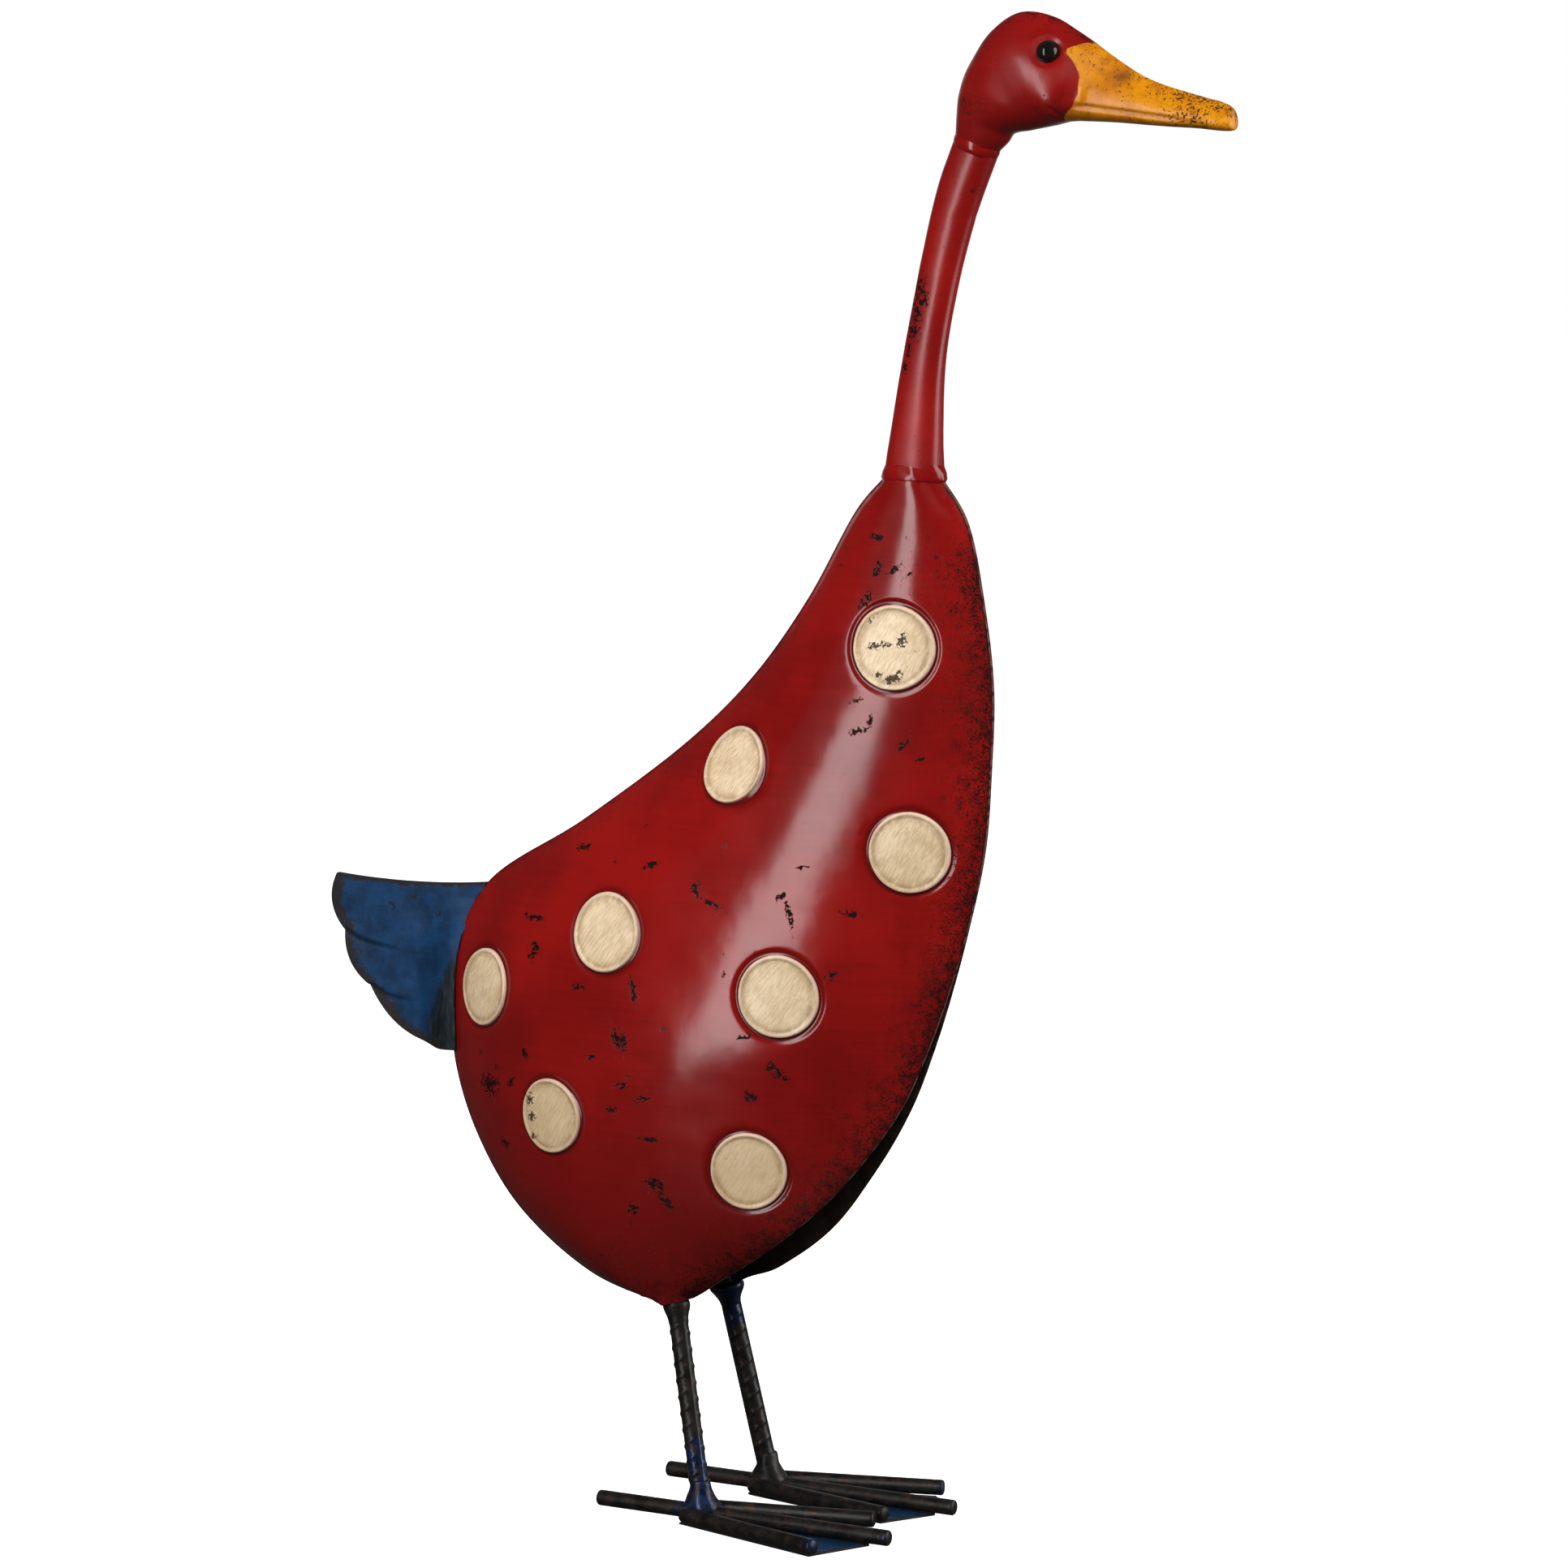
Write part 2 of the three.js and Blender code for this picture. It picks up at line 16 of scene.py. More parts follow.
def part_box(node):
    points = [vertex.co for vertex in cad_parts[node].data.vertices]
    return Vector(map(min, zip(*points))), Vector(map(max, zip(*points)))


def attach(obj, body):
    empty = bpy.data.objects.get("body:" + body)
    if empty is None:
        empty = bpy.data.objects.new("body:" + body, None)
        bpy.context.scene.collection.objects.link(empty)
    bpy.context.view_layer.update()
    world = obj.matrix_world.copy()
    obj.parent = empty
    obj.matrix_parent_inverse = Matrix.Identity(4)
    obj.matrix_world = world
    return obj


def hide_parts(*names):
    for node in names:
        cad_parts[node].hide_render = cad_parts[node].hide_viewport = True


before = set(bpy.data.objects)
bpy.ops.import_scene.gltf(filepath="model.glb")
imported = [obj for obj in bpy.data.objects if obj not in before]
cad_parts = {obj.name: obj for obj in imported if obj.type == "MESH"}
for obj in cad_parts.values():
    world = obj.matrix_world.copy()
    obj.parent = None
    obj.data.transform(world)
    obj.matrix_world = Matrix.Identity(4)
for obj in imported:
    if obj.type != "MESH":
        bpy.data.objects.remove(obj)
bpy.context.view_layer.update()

MM = 0.001
SHEET = 1.2  # thickness of the pressed sheets
SEAM = 0.3  # clear width that the CAD leaves between the two halves
HAIRLINE = 0.04  # what is left of it here, since the real halves are pressed and welded together


def corners(node):
    """The lowest and highest corner of a CAD node's box, in millimetres."""
    low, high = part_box(node)
    return np.array(low) / MM, np.array(high) / MM


def middle_of(node):
    """The middle of a CAD node's box."""
    low, high = corners(node)
    return (low + high) / 2


# ---- Curves and values ----


def smoothstep(value, low, high):
    s = np.clip((value - low) / (high - low), 0, 1)
    return s * s * (3 - 2 * s)


def bump(value, middle, reach):
    """A soft hump: 1 at the middle, falling to about a third at the reach."""
    return np.exp(-(((value - middle) / reach) ** 2))


def near(distance, reach):
    """1 at no distance, falling evenly to 0 at the reach."""
    return 1 - np.minimum(distance / reach, 1)


def strongest(*masks):
    """The highest of some numbers at each point."""
    return np.maximum.reduce(np.broadcast_arrays(*masks))


def share_grid(rows, columns):
    """Shares from 0 to 1 down the rows and along the columns of a grid."""
    return np.meshgrid(np.linspace(0, 1, rows), np.linspace(0, 1, columns), indexing="ij")


def length_of(vectors):
    """The length of each vector."""
    return np.linalg.norm(vectors, axis=-1)


def unit(vector):
    """The direction of one vector, one unit long."""
    return vector / np.linalg.norm(vector)


def off_axis(points, centre, axis):
    """The part of each point's way from a centre that is square to an axis."""
    away = points - centre
    return away - (away @ axis)[..., None] * axis


def hermite(first, second, slope_first, slope_second, s):
    """The cubic from first to second with the given slopes at its ends, at the shares s."""
    return (
        first * (1 + 2 * s) * (1 - s) ** 2
        + slope_first * s * (1 - s) ** 2
        + second * s**2 * (3 - 2 * s)
        + slope_second * s**2 * (s - 1)
    )


def along(values, t):
    """What lies at the shares t of a list of evenly spaced values, joined smoothly."""
    values = np.asarray(values, float)
    last = len(values) - 1
    place = np.clip(np.asarray(t, float), 0, 1) * last
    start = np.minimum(place.astype(int), last - 1)
    s = place - start
    before, first, second, after = (values[np.clip(start + k, 0, last)] for k in (-1, 0, 1, 2))
    if values.ndim > 1:
        s = s[..., None]
    return hermite(first, second, (second - before) / 2, (after - first) / 2, s)


def smooth_line(points, steps=40):
    """Close samples of a curve through unevenly spaced points."""
    points = np.asarray(points, float)
    ends = np.vstack([2 * points[0] - points[1], points, 2 * points[-1] - points[-2]])
    line = []
    for p0, p1, p2, p3 in zip(ends[:-3], ends[1:-2], ends[2:-1], ends[3:]):
        d0, d1, d2 = (np.linalg.norm(b - a) ** 0.5 for a, b in ((p0, p1), (p1, p2), (p2, p3)))
        slope_1 = ((p1 - p0) / d0 - (p2 - p0) / (d0 + d1) + (p2 - p1) / d1) * d1
        slope_2 = ((p2 - p1) / d1 - (p3 - p1) / (d1 + d2) + (p3 - p2) / d2) * d1
        s = np.linspace(0, 1, steps, endpoint=False)[:, None]
        line.append(hermite(p1, p2, slope_1, slope_2, s))
    return np.vstack([*line, points[-1:]])


def on_line(line, t):
    """Points at the shares t of a line's samples."""
    samples = np.linspace(0, 1, len(line))
    return np.stack([np.interp(t, samples, line[:, k]) for k in range(line.shape[1])], -1)


def evenly(line, spacing):
    """The line again, with points about that far apart."""
    run = np.concatenate([[0], np.cumsum(length_of(np.diff(line, axis=0)))])
    wanted = np.linspace(0, run[-1], max(2, round(run[-1] / spacing) + 1))
    return np.stack([np.interp(wanted, run, line[:, k]) for k in range(line.shape[1])], -1)


def fine_line(points):
    """Samples half a millimetre apart of a curve through the points."""
    return evenly(smooth_line(points), 0.5)


def distance_to(points, line):
    """How far each point is from the nearest sample of a line."""
    near = [np.sqrt(((line - p) ** 2).sum(1).min()) for p in points.reshape(-1, points.shape[-1])]
    return np.reshape(near, points.shape[:-1])


def lumps(points, size, seed=0):
    """Smooth noise from about -1 to 1 at each point, with features of about that size."""
    places = [Vector(p) / size + Vector((seed, seed, seed)) for p in points.reshape(-1, 3)]
    return np.reshape([noise.noise(p, noise_basis="PERLIN_NEW") for p in places], points.shape[:-1])


# ---- Meshes ----

SIDES = {"right": 1, "left": -1}  # what each side's pieces are scaled by across the seam


def new_piece(name, shape, look, side="right", stands_for=True):
    """Adds a piece, which stands for the CAD node of its name unless told not to.

    A shape has points and faces. It may have back, the numbers of the faces that take the look's second
    material, and values, which the look reads: a number for each point, or fewer that repeat.
    """
    points = np.asarray(shape["points"]) * np.array([1, SIDES[side], 1]) * MM
    mesh = bpy.data.meshes.new(name)
    mesh.from_pydata(points.tolist(), [], [tuple(int(i) for i in face) for face in shape["faces"]])
    for key, numbers in shape.get("values", {}).items():
        layer = mesh.attributes.new(key, "FLOAT", "POINT")
        layer.data.foreach_set("value", np.resize(np.asarray(numbers, np.float32), len(points)))
    for material in look:
        mesh.materials.append(material)
    index = np.zeros(len(mesh.polygons), int)
    index[list(shape.get("back", ()))] = 1
    mesh.polygons.foreach_set("material_index", index.tolist())
    mesh.polygons.foreach_set("use_smooth", [True] * len(mesh.polygons))
    solid = bmesh.new()
    solid.from_mesh(mesh)
    bmesh.ops.recalc_face_normals(solid, faces=solid.faces)
    solid.to_mesh(mesh)
    solid.free()
    mesh.set_sharp_from_angle(angle=math.radians(50))
    piece = bpy.data.objects.new(name, mesh)
    bpy.context.scene.collection.objects.link(piece)
    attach(piece, "root")
    if stands_for:
        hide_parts(name)


def new_pair(name, shape, look, stands_for=True):
    """A right piece and its mirror image."""
    for side in SIDES:
        new_piece(f"{name}_{side}", shape, look, side, stands_for)


def grid_faces(rows, columns, start=0, wrap=False):
    """Quads between neighbours in a grid of points, with the last column joined to the first if wrapped."""
    faces = []
    for i in range(rows - 1):
        a, b = start + i * columns, start + (i + 1) * columns
        for j in range(columns if wrap else columns - 1):
            k = (j + 1) % columns
            faces.append((a + j, a + k, b + k, b + j))
    return faces


def loop_strip(first, second, size):
    """Quads between two closed loops of that many points, from their first numbers."""
    return [(first + j, first + (j + 1) % size, second + (j + 1) % size, second + j) for j in range(size)]


def sheet_between(outer, inner):
    """A closed sheet between two grids of points, with the inner faces as the back."""
    rows, columns = outer.shape[:2]
    size = rows * columns
    front, back = grid_faces(rows, columns), grid_faces(rows, columns, size)
    edge = [
        *(i * columns for i in range(rows)),
        *((rows - 1) * columns + j for j in range(1, columns)),
        *(i * columns + columns - 1 for i in range(rows - 2, -1, -1)),
        *range(columns - 2, 0, -1),
    ]
    strip = [(a, b, b + size, a + size) for a, b in zip(edge, edge[1:] + edge[:1])]
    points = np.vstack([outer.reshape(-1, 3), inner.reshape(-1, 3)])
    return {
        "points": points,
        "faces": front + back + strip,
        "back": range(len(front), len(front) + len(back)),
    }


def capped_rings(rings):
    """A closed solid through rings of points, with a fan over the first ring and over the last."""
    rings = np.asarray(rings)
    rows, sides = rings.shape[:2]
    points = np.vstack([rings.reshape(-1, 3), rings[0].mean(0), rings[-1].mean(0)])
    faces = grid_faces(rows, sides, wrap=True)
    first, last, end = rows * sides, rows * sides + 1, (rows - 1) * sides
    for j in range(sides):
        k = (j + 1) % sides
        faces += [(first, k, j), (last, end + j, end + k)]
    return {"points": points, "faces": faces}


def looped_rings(rings):
    """A closed ring-shaped solid: the last ring of points is joined back to the first."""
    rings = np.asarray(rings)
    rows, sides = rings.shape[:2]
    faces = grid_faces(rows, sides, wrap=True) + loop_strip((rows - 1) * sides, 0, sides)
    return {"points": rings.reshape(-1, 3), "faces": faces}


def across_axis(direction):
    """Two unit vectors square to a direction and to each other. The second is the upper one."""
    direction = unit(direction)
    level = unit(np.cross(direction, (0, 0, 1) if abs(direction[2]) < 0.9 else (0, 1, 0)))
    return level, np.cross(level, direction)


def ring(centre, direction, radii, sides):
    """A ring of points round an axis. radii is one radius, or one for each of the sides."""
    level, upper = across_axis(direction)
    angle = np.linspace(0, 2 * math.pi, sides, endpoint=False)
    radii = np.broadcast_to(radii, sides)
    return centre + np.outer(radii * np.cos(angle), level) + np.outer(radii * np.sin(angle), upper)


def swollen(points, share):
    """Points moved away from their middle, each by its own share."""
    middle = points.mean(0)
    return middle + (points - middle) * share[:, None]


def hex_lattice(outline, spacing):
    """Evenly scattered points over the box of an outline."""
    low, high = outline.min(0), outline.max(0)
    points = []
    for i, second in enumerate(np.arange(low[1], high[1], spacing * math.sqrt(3) / 2)):
        first = np.arange(low[0] + (i % 2) * spacing / 2, high[0], spacing)
        points.append(np.column_stack([first, np.full(len(first), second)]))
    return np.vstack(points)


def inside(outline, points):
    """True for each point within a closed outline."""
    result = np.zeros(len(points), bool)
    for (u0, v0), (u1, v1) in zip(outline, np.roll(outline, -1, 0)):
        if v0 != v1:
            crosses = (v0 > points[:, 1]) != (v1 > points[:, 1])
            result ^= crosses & (points[:, 0] < u0 + (points[:, 1] - v0) * (u1 - u0) / (v1 - v0))
    return result


def triangles_over(outline, points):
    """Triangles over an outline and the points inside it, as numbers into the two lists joined."""
    size = len(outline)
    edges = [(i, (i + 1) % size) for i in range(size)]
    flat = [Vector(p) for p in np.vstack([outline, points])]
    _, _, triangles, origin, _, _ = delaunay_2d_cdt(flat, edges, [], 1, 1e-6)
    return [tuple(origin[i][0] for i in triangle) for triangle in triangles]


ARC = np.radians([36, 72, 108, 144])  # turns round a rounded rim


def sheet_over(outline, spacing, back_spacing, place, face, extra=None, clear=None):
    """A thin closed sheet with a rounded rim, over a flat outline.

    place turns flat points into points in the middle of the sheet, and face is the way its front looks.
    extra are more flat points for the front, where clear says which points of its lattice stay.
    """
    half = SHEET / 2
    face = np.asarray(face, float)
    tangent = np.roll(outline, -1, 0) - np.roll(outline, 1, 0)
    tangent /= length_of(tangent)[:, None]
    turning = np.cross(outline, np.roll(outline, -1, 0)).sum()
    outward = np.column_stack([tangent[:, 1], -tangent[:, 0]]) * np.sign(turning)
    inset = outline - half * outward
    size = len(inset)
    skins = []
    for step, more, stays in ((spacing, extra, clear), (back_spacing, None, None)):
        lattice = hex_lattice(inset, step)
        lattice = lattice[inside(inset, lattice)]
        lattice = lattice[distance_to(lattice, inset) > 0.6 * step]
        if more is not None:
            lattice = np.vstack([lattice[stays(lattice)], more])
        skins.append((np.vstack([inset, lattice]), triangles_over(inset, lattice)))
    (front_flat, front), (back_flat, back) = skins
    middle = place(inset)
    away = place(inset + outward) - middle
    away -= np.outer(away @ face, face)
    away /= length_of(away)[:, None]
    arcs = [middle + half * (math.cos(turn) * face + math.sin(turn) * away) for turn in ARC]
    starts = [0, *(len(front_flat) + k * size for k in range(len(ARC) + 1))]
    strip = [quad for a, b in zip(starts, starts[1:]) for quad in loop_strip(a, b, size)]
    back = [tuple(starts[-1] + i for i in triangle) for triangle in back]
    return {
        "points": np.vstack([place(front_flat) + half * face, *arcs, place(back_flat) - half * face]),
        "faces": [*front, *strip, *back],
        "back": range(len(front) + len(strip), len(front) + len(strip) + len(back)),
    }


# ---- Looks ----


def srgb(red, green, blue):
    """A shader colour from the red, green and blue that a screen shows, 0 to 255."""
    def linear(value):
        value /= 255
        return value / 12.92 if value <= 0.04045 else ((value + 0.055) / 1.055) ** 2.4
    return (linear(red), linear(green), linear(blue), 1)


class Number:
    """A number that a material works out at each point of a surface, for use in sums."""

    def __init__(self, look, socket):
        self.look = look
        self.socket = socket

    def __add__(self, other):
        return self.look.calc("ADD", self, other)

    def __sub__(self, other):
        return self.look.calc("SUBTRACT", self, other)

    def __rsub__(self, other):
        return self.look.calc("SUBTRACT", other, self)

    def __mul__(self, other):
        return self.look.calc("MULTIPLY", self, other)


class Look:
    """A material's node tree, built with short calls. Lengths are in millimetres."""

    def __init__(self, name):
        self.material = bpy.data.materials.new(name)
        self.material.use_nodes = True
        self.tree = self.material.node_tree
        self.shader = self.tree.nodes["Principled BSDF"]
        self.normal = self.colour = None
        spot = self.add("ShaderNodeTexCoord").outputs["Object"]
        scaled = self.add("ShaderNodeVectorMath", {0: spot, "Scale": 1 / MM}, operation="SCALE")
        self.place = scaled.outputs[0]

    def add(self, kind, inputs=None, **settings):
        node = self.tree.nodes.new(kind)
        for key, value in settings.items():
            setattr(node, key, value)
        for key, value in (inputs or {}).items():
            value = value.socket if isinstance(value, Number) else value
            if isinstance(value, bpy.types.NodeSocket):
                self.tree.links.new(value, node.inputs[key])
            else:
                node.inputs[key].default_value = value
        return node

    def calc(self, operation, first, second=0.0):
        node = self.add("ShaderNodeMath", {0: first, 1: second}, operation=operation)
        return Number(self, node.outputs[0])

    def ramp(self, value, low, high):
        """0 below low and 1 above high, with a soft step between. It falls instead if high is less."""
        inputs = {"Value": value, "From Min": low, "From Max": high}
        if high < low:
            inputs = {"Value": value, "From Min": high, "From Max": low, "To Min": 1.0, "To Max": 0.0}
        node = self.add("ShaderNodeMapRange", inputs, interpolation_type="SMOOTHSTEP")
        return Number(self, node.outputs[0])

    def mix(self, share, first, second):
        """A colour between two, by a share."""
        inputs = {0: share, 6: first, 7: second}
        return self.add("ShaderNodeMix", inputs, data_type="RGBA").outputs[2]

    def paint(self, share, first, second):
        """Sets the colour to one between two, by a share."""
        self.colour = self.mix(share, first, second)

    def coat(self, share, colour):
        """Covers a share of the colour so far with another."""
        self.colour = self.mix(share, self.colour, colour)

    def scaled(self, size, stretch=(1, 1, 1), turn=0.0, place=None):
        """The place in steps of a size, stretched along X, Y and Z after a turn about Y in degrees."""
        place = place or self.place
        if turn:
            inputs = {"Vector": place, "Axis": (0, 1, 0), "Angle": math.radians(turn)}
            place = self.add("ShaderNodeVectorRotate", inputs).outputs[0]
        steps = tuple(1 / (size * s) for s in stretch)
        return self.add("ShaderNodeVectorMath", {0: place, 1: steps}, operation="MULTIPLY").outputs[0]

    def noise(self, size, detail=2.0, rough=0.5, output="Fac", **where):
        vector = self.scaled(size, **where)
        inputs = {"Vector": vector, "Scale": 1.0, "Detail": detail, "Roughness": rough}
        return Number(self, self.add("ShaderNodeTexNoise", inputs).outputs[output])

    def warped(self, size, reach):
        """The place pushed about by noise of that size, by up to about half the reach."""
        inputs = {0: self.noise(size, output="Color"), "Scale": reach}
        push = self.add("ShaderNodeVectorMath", inputs, operation="SCALE").outputs[0]
        return self.add("ShaderNodeVectorMath", {0: self.place, 1: push}, operation="ADD").outputs[0]

    def carried(self, *names):
        """The numbers of those names that the mesh carries for each point, or 0 where it has none."""
        nodes = [self.add("ShaderNodeAttribute", attribute_name=name) for name in names]
        return [Number(self, node.outputs["Fac"]) for node in nodes]

    def either(self, *masks):
        """The strongest of some masks."""
        strongest = masks[0]
        for mask in masks[1:]:
            strongest = self.calc("MAXIMUM", strongest, mask)
        return strongest

    def chips(self, spacing, reach, share, grain):
        """Scattered chips: bent ragged strokes in round patches, in a share of cells of that spacing."""
        inputs = {"Vector": self.scaled(spacing, place=self.warped(reach * 2, reach * 1.5)), "Scale": 1.0}
        cell = self.add("ShaderNodeTexVoronoi", inputs)
        random = self.add("ShaderNodeSeparateColor", {0: cell.outputs["Color"]}).outputs[0]
        chosen = self.calc("LESS_THAN", random, share)
        patch = self.ramp(cell.outputs["Distance"], reach / spacing, 0.75 * reach / spacing)
        band = self.calc("ABSOLUTE", self.noise(grain, 3.0) - 0.5)
        return chosen * patch * self.ramp(band, 0.075, 0.055)

    def marks(self):
        """The chips that the mesh carries, made ragged."""
        chip, = self.carried("chip")
        ragged = self.noise(1.7, 4.0, 0.75) - 0.5
        strokes = self.ramp(self.calc("ABSOLUTE", self.noise(3.4) - 0.5), 0.09, 0.02)
        drawn = chip + (ragged * 2.0 + strokes * 0.5)
        return self.ramp(drawn, 0.9, 1.02) * self.ramp(chip, 0.1, 0.2)

    def relief(self, height, depth):
        """Adds relief: height is 0 to 1, and depth is what 1 stands for."""
        inputs = {"Height": height, "Distance": depth * MM, "Strength": 1.0}
        if self.normal:
            inputs["Normal"] = self.normal
        self.normal = self.add("ShaderNodeBump", inputs).outputs[0]

    def finish(self, roughness, bare=None, **fixed):
        """Sets the shader. bare is where the paint has gone and does not shine.

        fixed are sockets of the shader that are the same all over, by name with _ for a space.
        """
        wanted = {"Base Color": self.colour, "Roughness": roughness.socket}
        if bare:
            wanted["Specular IOR Level"] = (self.ramp(bare, 1.3, 0.0) * 0.5).socket
        if self.normal:
            wanted["Normal"] = self.normal
        for key, socket in wanted.items():
            self.tree.links.new(socket, self.shader.inputs[key])
        for key, value in fixed.items():
            self.shader.inputs[key.replace("_", " ")].default_value = value
        return self.material


BARE = srgb(26, 14, 11)  # what shows where paint has gone
RUST = srgb(84, 45, 26)
GLOSS = 1.5  # index of refraction of the glossy paints and the eyes
LONG_GRAIN = (16, 16, 1)  # stretch of brush streaks that run level


def red_paint():
    look = Look("red_paint")
    wear, rim, moat_shade, shade, edge, soft = look.carried("wear", "rim", "moat_shade", "shade", "edge", "soft")
    tone = look.noise(55, 3.0) * 0.8 + look.noise(2.2, 3.0, stretch=LONG_GRAIN) * 0.2
    blotch = look.noise(5.5, 4.0, 0.7)
    smudge = look.ramp(blotch + wear * 0.32, 0.62, 0.86)
    specks = look.ramp(look.noise(1.1, 3.0, 0.7) + wear * (blotch + 0.1) * 0.4, 0.67, 0.74)
    worn = look.ramp(rim + look.noise(2.6, 3.0) * 0.5, 0.86, 1.06)
    chips = look.either(look.marks(), look.chips(17, 2.0, 0.22, 3.0) * 0.7)
    bare = look.either(specks * 0.85, worn * 0.85, chips)
    # a pale line along the breast rim: worn metal, with a painted highlight on the rounded rim
    worn_rim_and_highlight = look.ramp(edge, 0.84, 0.92) * look.ramp(look.noise(9), 0.3, 0.5)
    look.paint(look.ramp(tone, 0.3, 0.7), srgb(122, 12, 11), srgb(153, 19, 15))
    look.coat(shade * 0.75, srgb(84, 11, 9))
    # painted shade in the pressed groove round each spot
    look.coat(moat_shade * 0.7, srgb(70, 7, 6))
    look.coat(smudge * 0.5, srgb(66, 10, 8))
    look.coat(bare, BARE)
    look.coat(worn_rim_and_highlight * 0.8, srgb(118, 84, 76))
    look.relief(look.noise(9), 0.05)
    look.relief(look.noise(1.4), 0.006)
    look.relief(1.0 - bare, 0.03)
    dull = bare * 0.3 + look.noise(14, 3.0) * 0.08 + soft * 0.15
    return look.finish(dull + 0.11, bare, IOR=GLOSS)


def cream_paint():
    look = Look("cream_paint")
    lip_highlight, groove, shade = look.carried("lip_highlight", "groove", "shade")
    brushed = look.noise(0.7, 3.0, 0.6, stretch=(1, 1, 20), turn=-32)
    cloud = look.noise(13, 4.0, 0.6)
    # brown antiquing in the groove inside each table, and painted shade spread over the table towards its
    # rim
    stain = groove * look.ramp(look.noise(7, 3.0, 0.6), 0.25, 0.6)
    flecks = look.ramp(look.noise(1.6), 0.68, 0.74) * look.ramp(look.noise(12), 0.5, 0.62)
    chips = look.either(look.marks(), look.chips(12, 1.1, 0.1, 2.0) * 0.8)
    look.paint(look.ramp(brushed * 0.6 + cloud * 0.4, 0.34, 0.64), srgb(214, 184, 142), srgb(250, 226, 190))
    look.coat(shade * 0.5, srgb(186, 154, 114))
    look.coat(stain * 0.6, srgb(150, 112, 66))
    look.coat(flecks * 0.6, srgb(116, 84, 52))
    # painted highlight along the rounded lip of each table
    look.coat(lip_highlight * 0.5, srgb(236, 205, 190))
    look.coat(chips * 0.92, srgb(46, 36, 30))
    look.relief(brushed, 0.08)
    look.relief(1.0 - chips, 0.05)
    return look.finish(cloud * 0.2 + chips * 0.2 + 0.24, chips, IOR=GLOSS)


def yellow_paint():
    look = Look("yellow_paint")
    wear, groove, tip_highlight, stain, rim = look.carried("wear", "groove", "tip_highlight", "stain", "rim")
    cloud = look.noise(14, 4.0, 0.6)
    grains = look.noise(1.15, 2.0, 0.6) + wear * (look.noise(6, 3.0) + 0.2) * 0.34
    scuffs = look.noise(3.2, 3.0, 0.6, stretch=(1.8, 1.8, 0.7)) + wear * 0.26
    line = rim + look.noise(3) * 0.3
    worn = look.either(look.ramp(grains, 0.69, 0.73), look.ramp(scuffs, 0.85, 0.9))
    bare = look.either(worn, look.ramp(line, 1.0, 1.08))
    look.paint(look.ramp(cloud, 0.34, 0.66), srgb(192, 112, 6), srgb(216, 138, 10))
    look.coat(look.ramp(look.noise(5, 3.0), 0.5, 0.68) * 0.5, srgb(154, 86, 22))
    # painted highlight on the rounded tip of the bill
    look.coat(tip_highlight * 0.7, srgb(232, 152, 14))
    # painted shade along the groove above the lower jaw
    look.coat(groove * 0.6, srgb(150, 90, 28))
    look.coat(stain, srgb(100, 58, 28))
    look.coat(bare * 0.92, srgb(52, 36, 26))
    look.relief(look.noise(6), 0.16)
    look.relief(1.0 - bare, 0.05)
    dull = look.noise(8, 3.0) * 0.16 + bare * 0.2
    return look.finish(dull + 0.2, bare, IOR=1.38)


def blue_paint():
    look = Look("blue_paint")
    wear, rim, shade, groove = look.carried("wear", "rim", "shade", "groove")
    cloud = look.noise(16, 5.0, 0.7)
    tone = cloud * 0.85 + look.noise(1.6, 3.0, stretch=(14, 14, 1)) * 0.15
    ragged = look.noise(4.5, 4.0, 0.65) + -0.5
    worn = look.ramp(rim + ragged * 1.9, 0.3, 0.72)
    dark = look.ramp(shade + ragged * 0.4, 0.05, 0.95)
    scraped = look.ramp(look.noise(5, 4.0, 0.7, stretch=(0.6, 0.6, 2.4)), 0.42, 0.66)
    specks = look.ramp(look.noise(1.5, 2.0, 0.6) + wear * 0.12, 0.72, 0.77)
    rust = look.either(look.chips(26, 5, 0.5, 4.0), look.chips(12, 2.6, 0.4, 3.0))
    look.paint(look.ramp(tone, 0.34, 0.66), srgb(13, 42, 72), srgb(20, 64, 108))
    # painted shade along the creases between the tail's feathers
    look.coat(groove * 0.65, srgb(20, 34, 46))
    look.coat(dark * 0.92, look.mix(scraped, srgb(12, 18, 16), srgb(44, 48, 46)))
    look.coat(look.either(worn * 0.92, specks * 0.8), srgb(34, 24, 20))
    look.coat(rust * 0.85, srgb(32, 26, 24))
    look.relief(cloud, 0.3)
    look.relief(1.0 - look.either(worn, rust), 0.05)
    dull = look.noise(9, 3.0) * 0.2 + worn * 0.2 + dark * 0.12
    return look.finish(dull + 0.3, dark * 0.5, IOR=GLOSS)


def dark_iron():
    """Blackened bar, browned by rust, with blue paint where the mesh's blue value says."""
    look = Look("dark_iron")
    blue, shade = look.carried("blue", "shade")
    cloud = look.noise(9, 4.0, 0.65)
    painted = look.ramp(blue + (look.noise(5, 4.0, 0.65) - 0.5) * 1.1, 0.42, 0.62)
    look.paint(look.ramp(cloud, 0.36, 0.62), srgb(15, 16, 16), srgb(34, 32, 28))
    look.coat(look.ramp(look.noise(4, 4.0, 0.7), 0.52, 0.7) * 0.6, RUST)
    blue_tone = look.ramp(look.noise(6, 3.0), 0.35, 0.65)
    look.coat(painted, look.mix(blue_tone, srgb(10, 21, 42), srgb(19, 42, 86)))
    look.coat(shade * 0.7, srgb(14, 14, 15))
    look.relief(look.noise(2.4, 3.0, 0.6), 0.16)
    look.relief(painted, 0.06)
    return look.finish(cloud * 0.3 + painted * -0.12 + 0.24, Metallic=0.25)


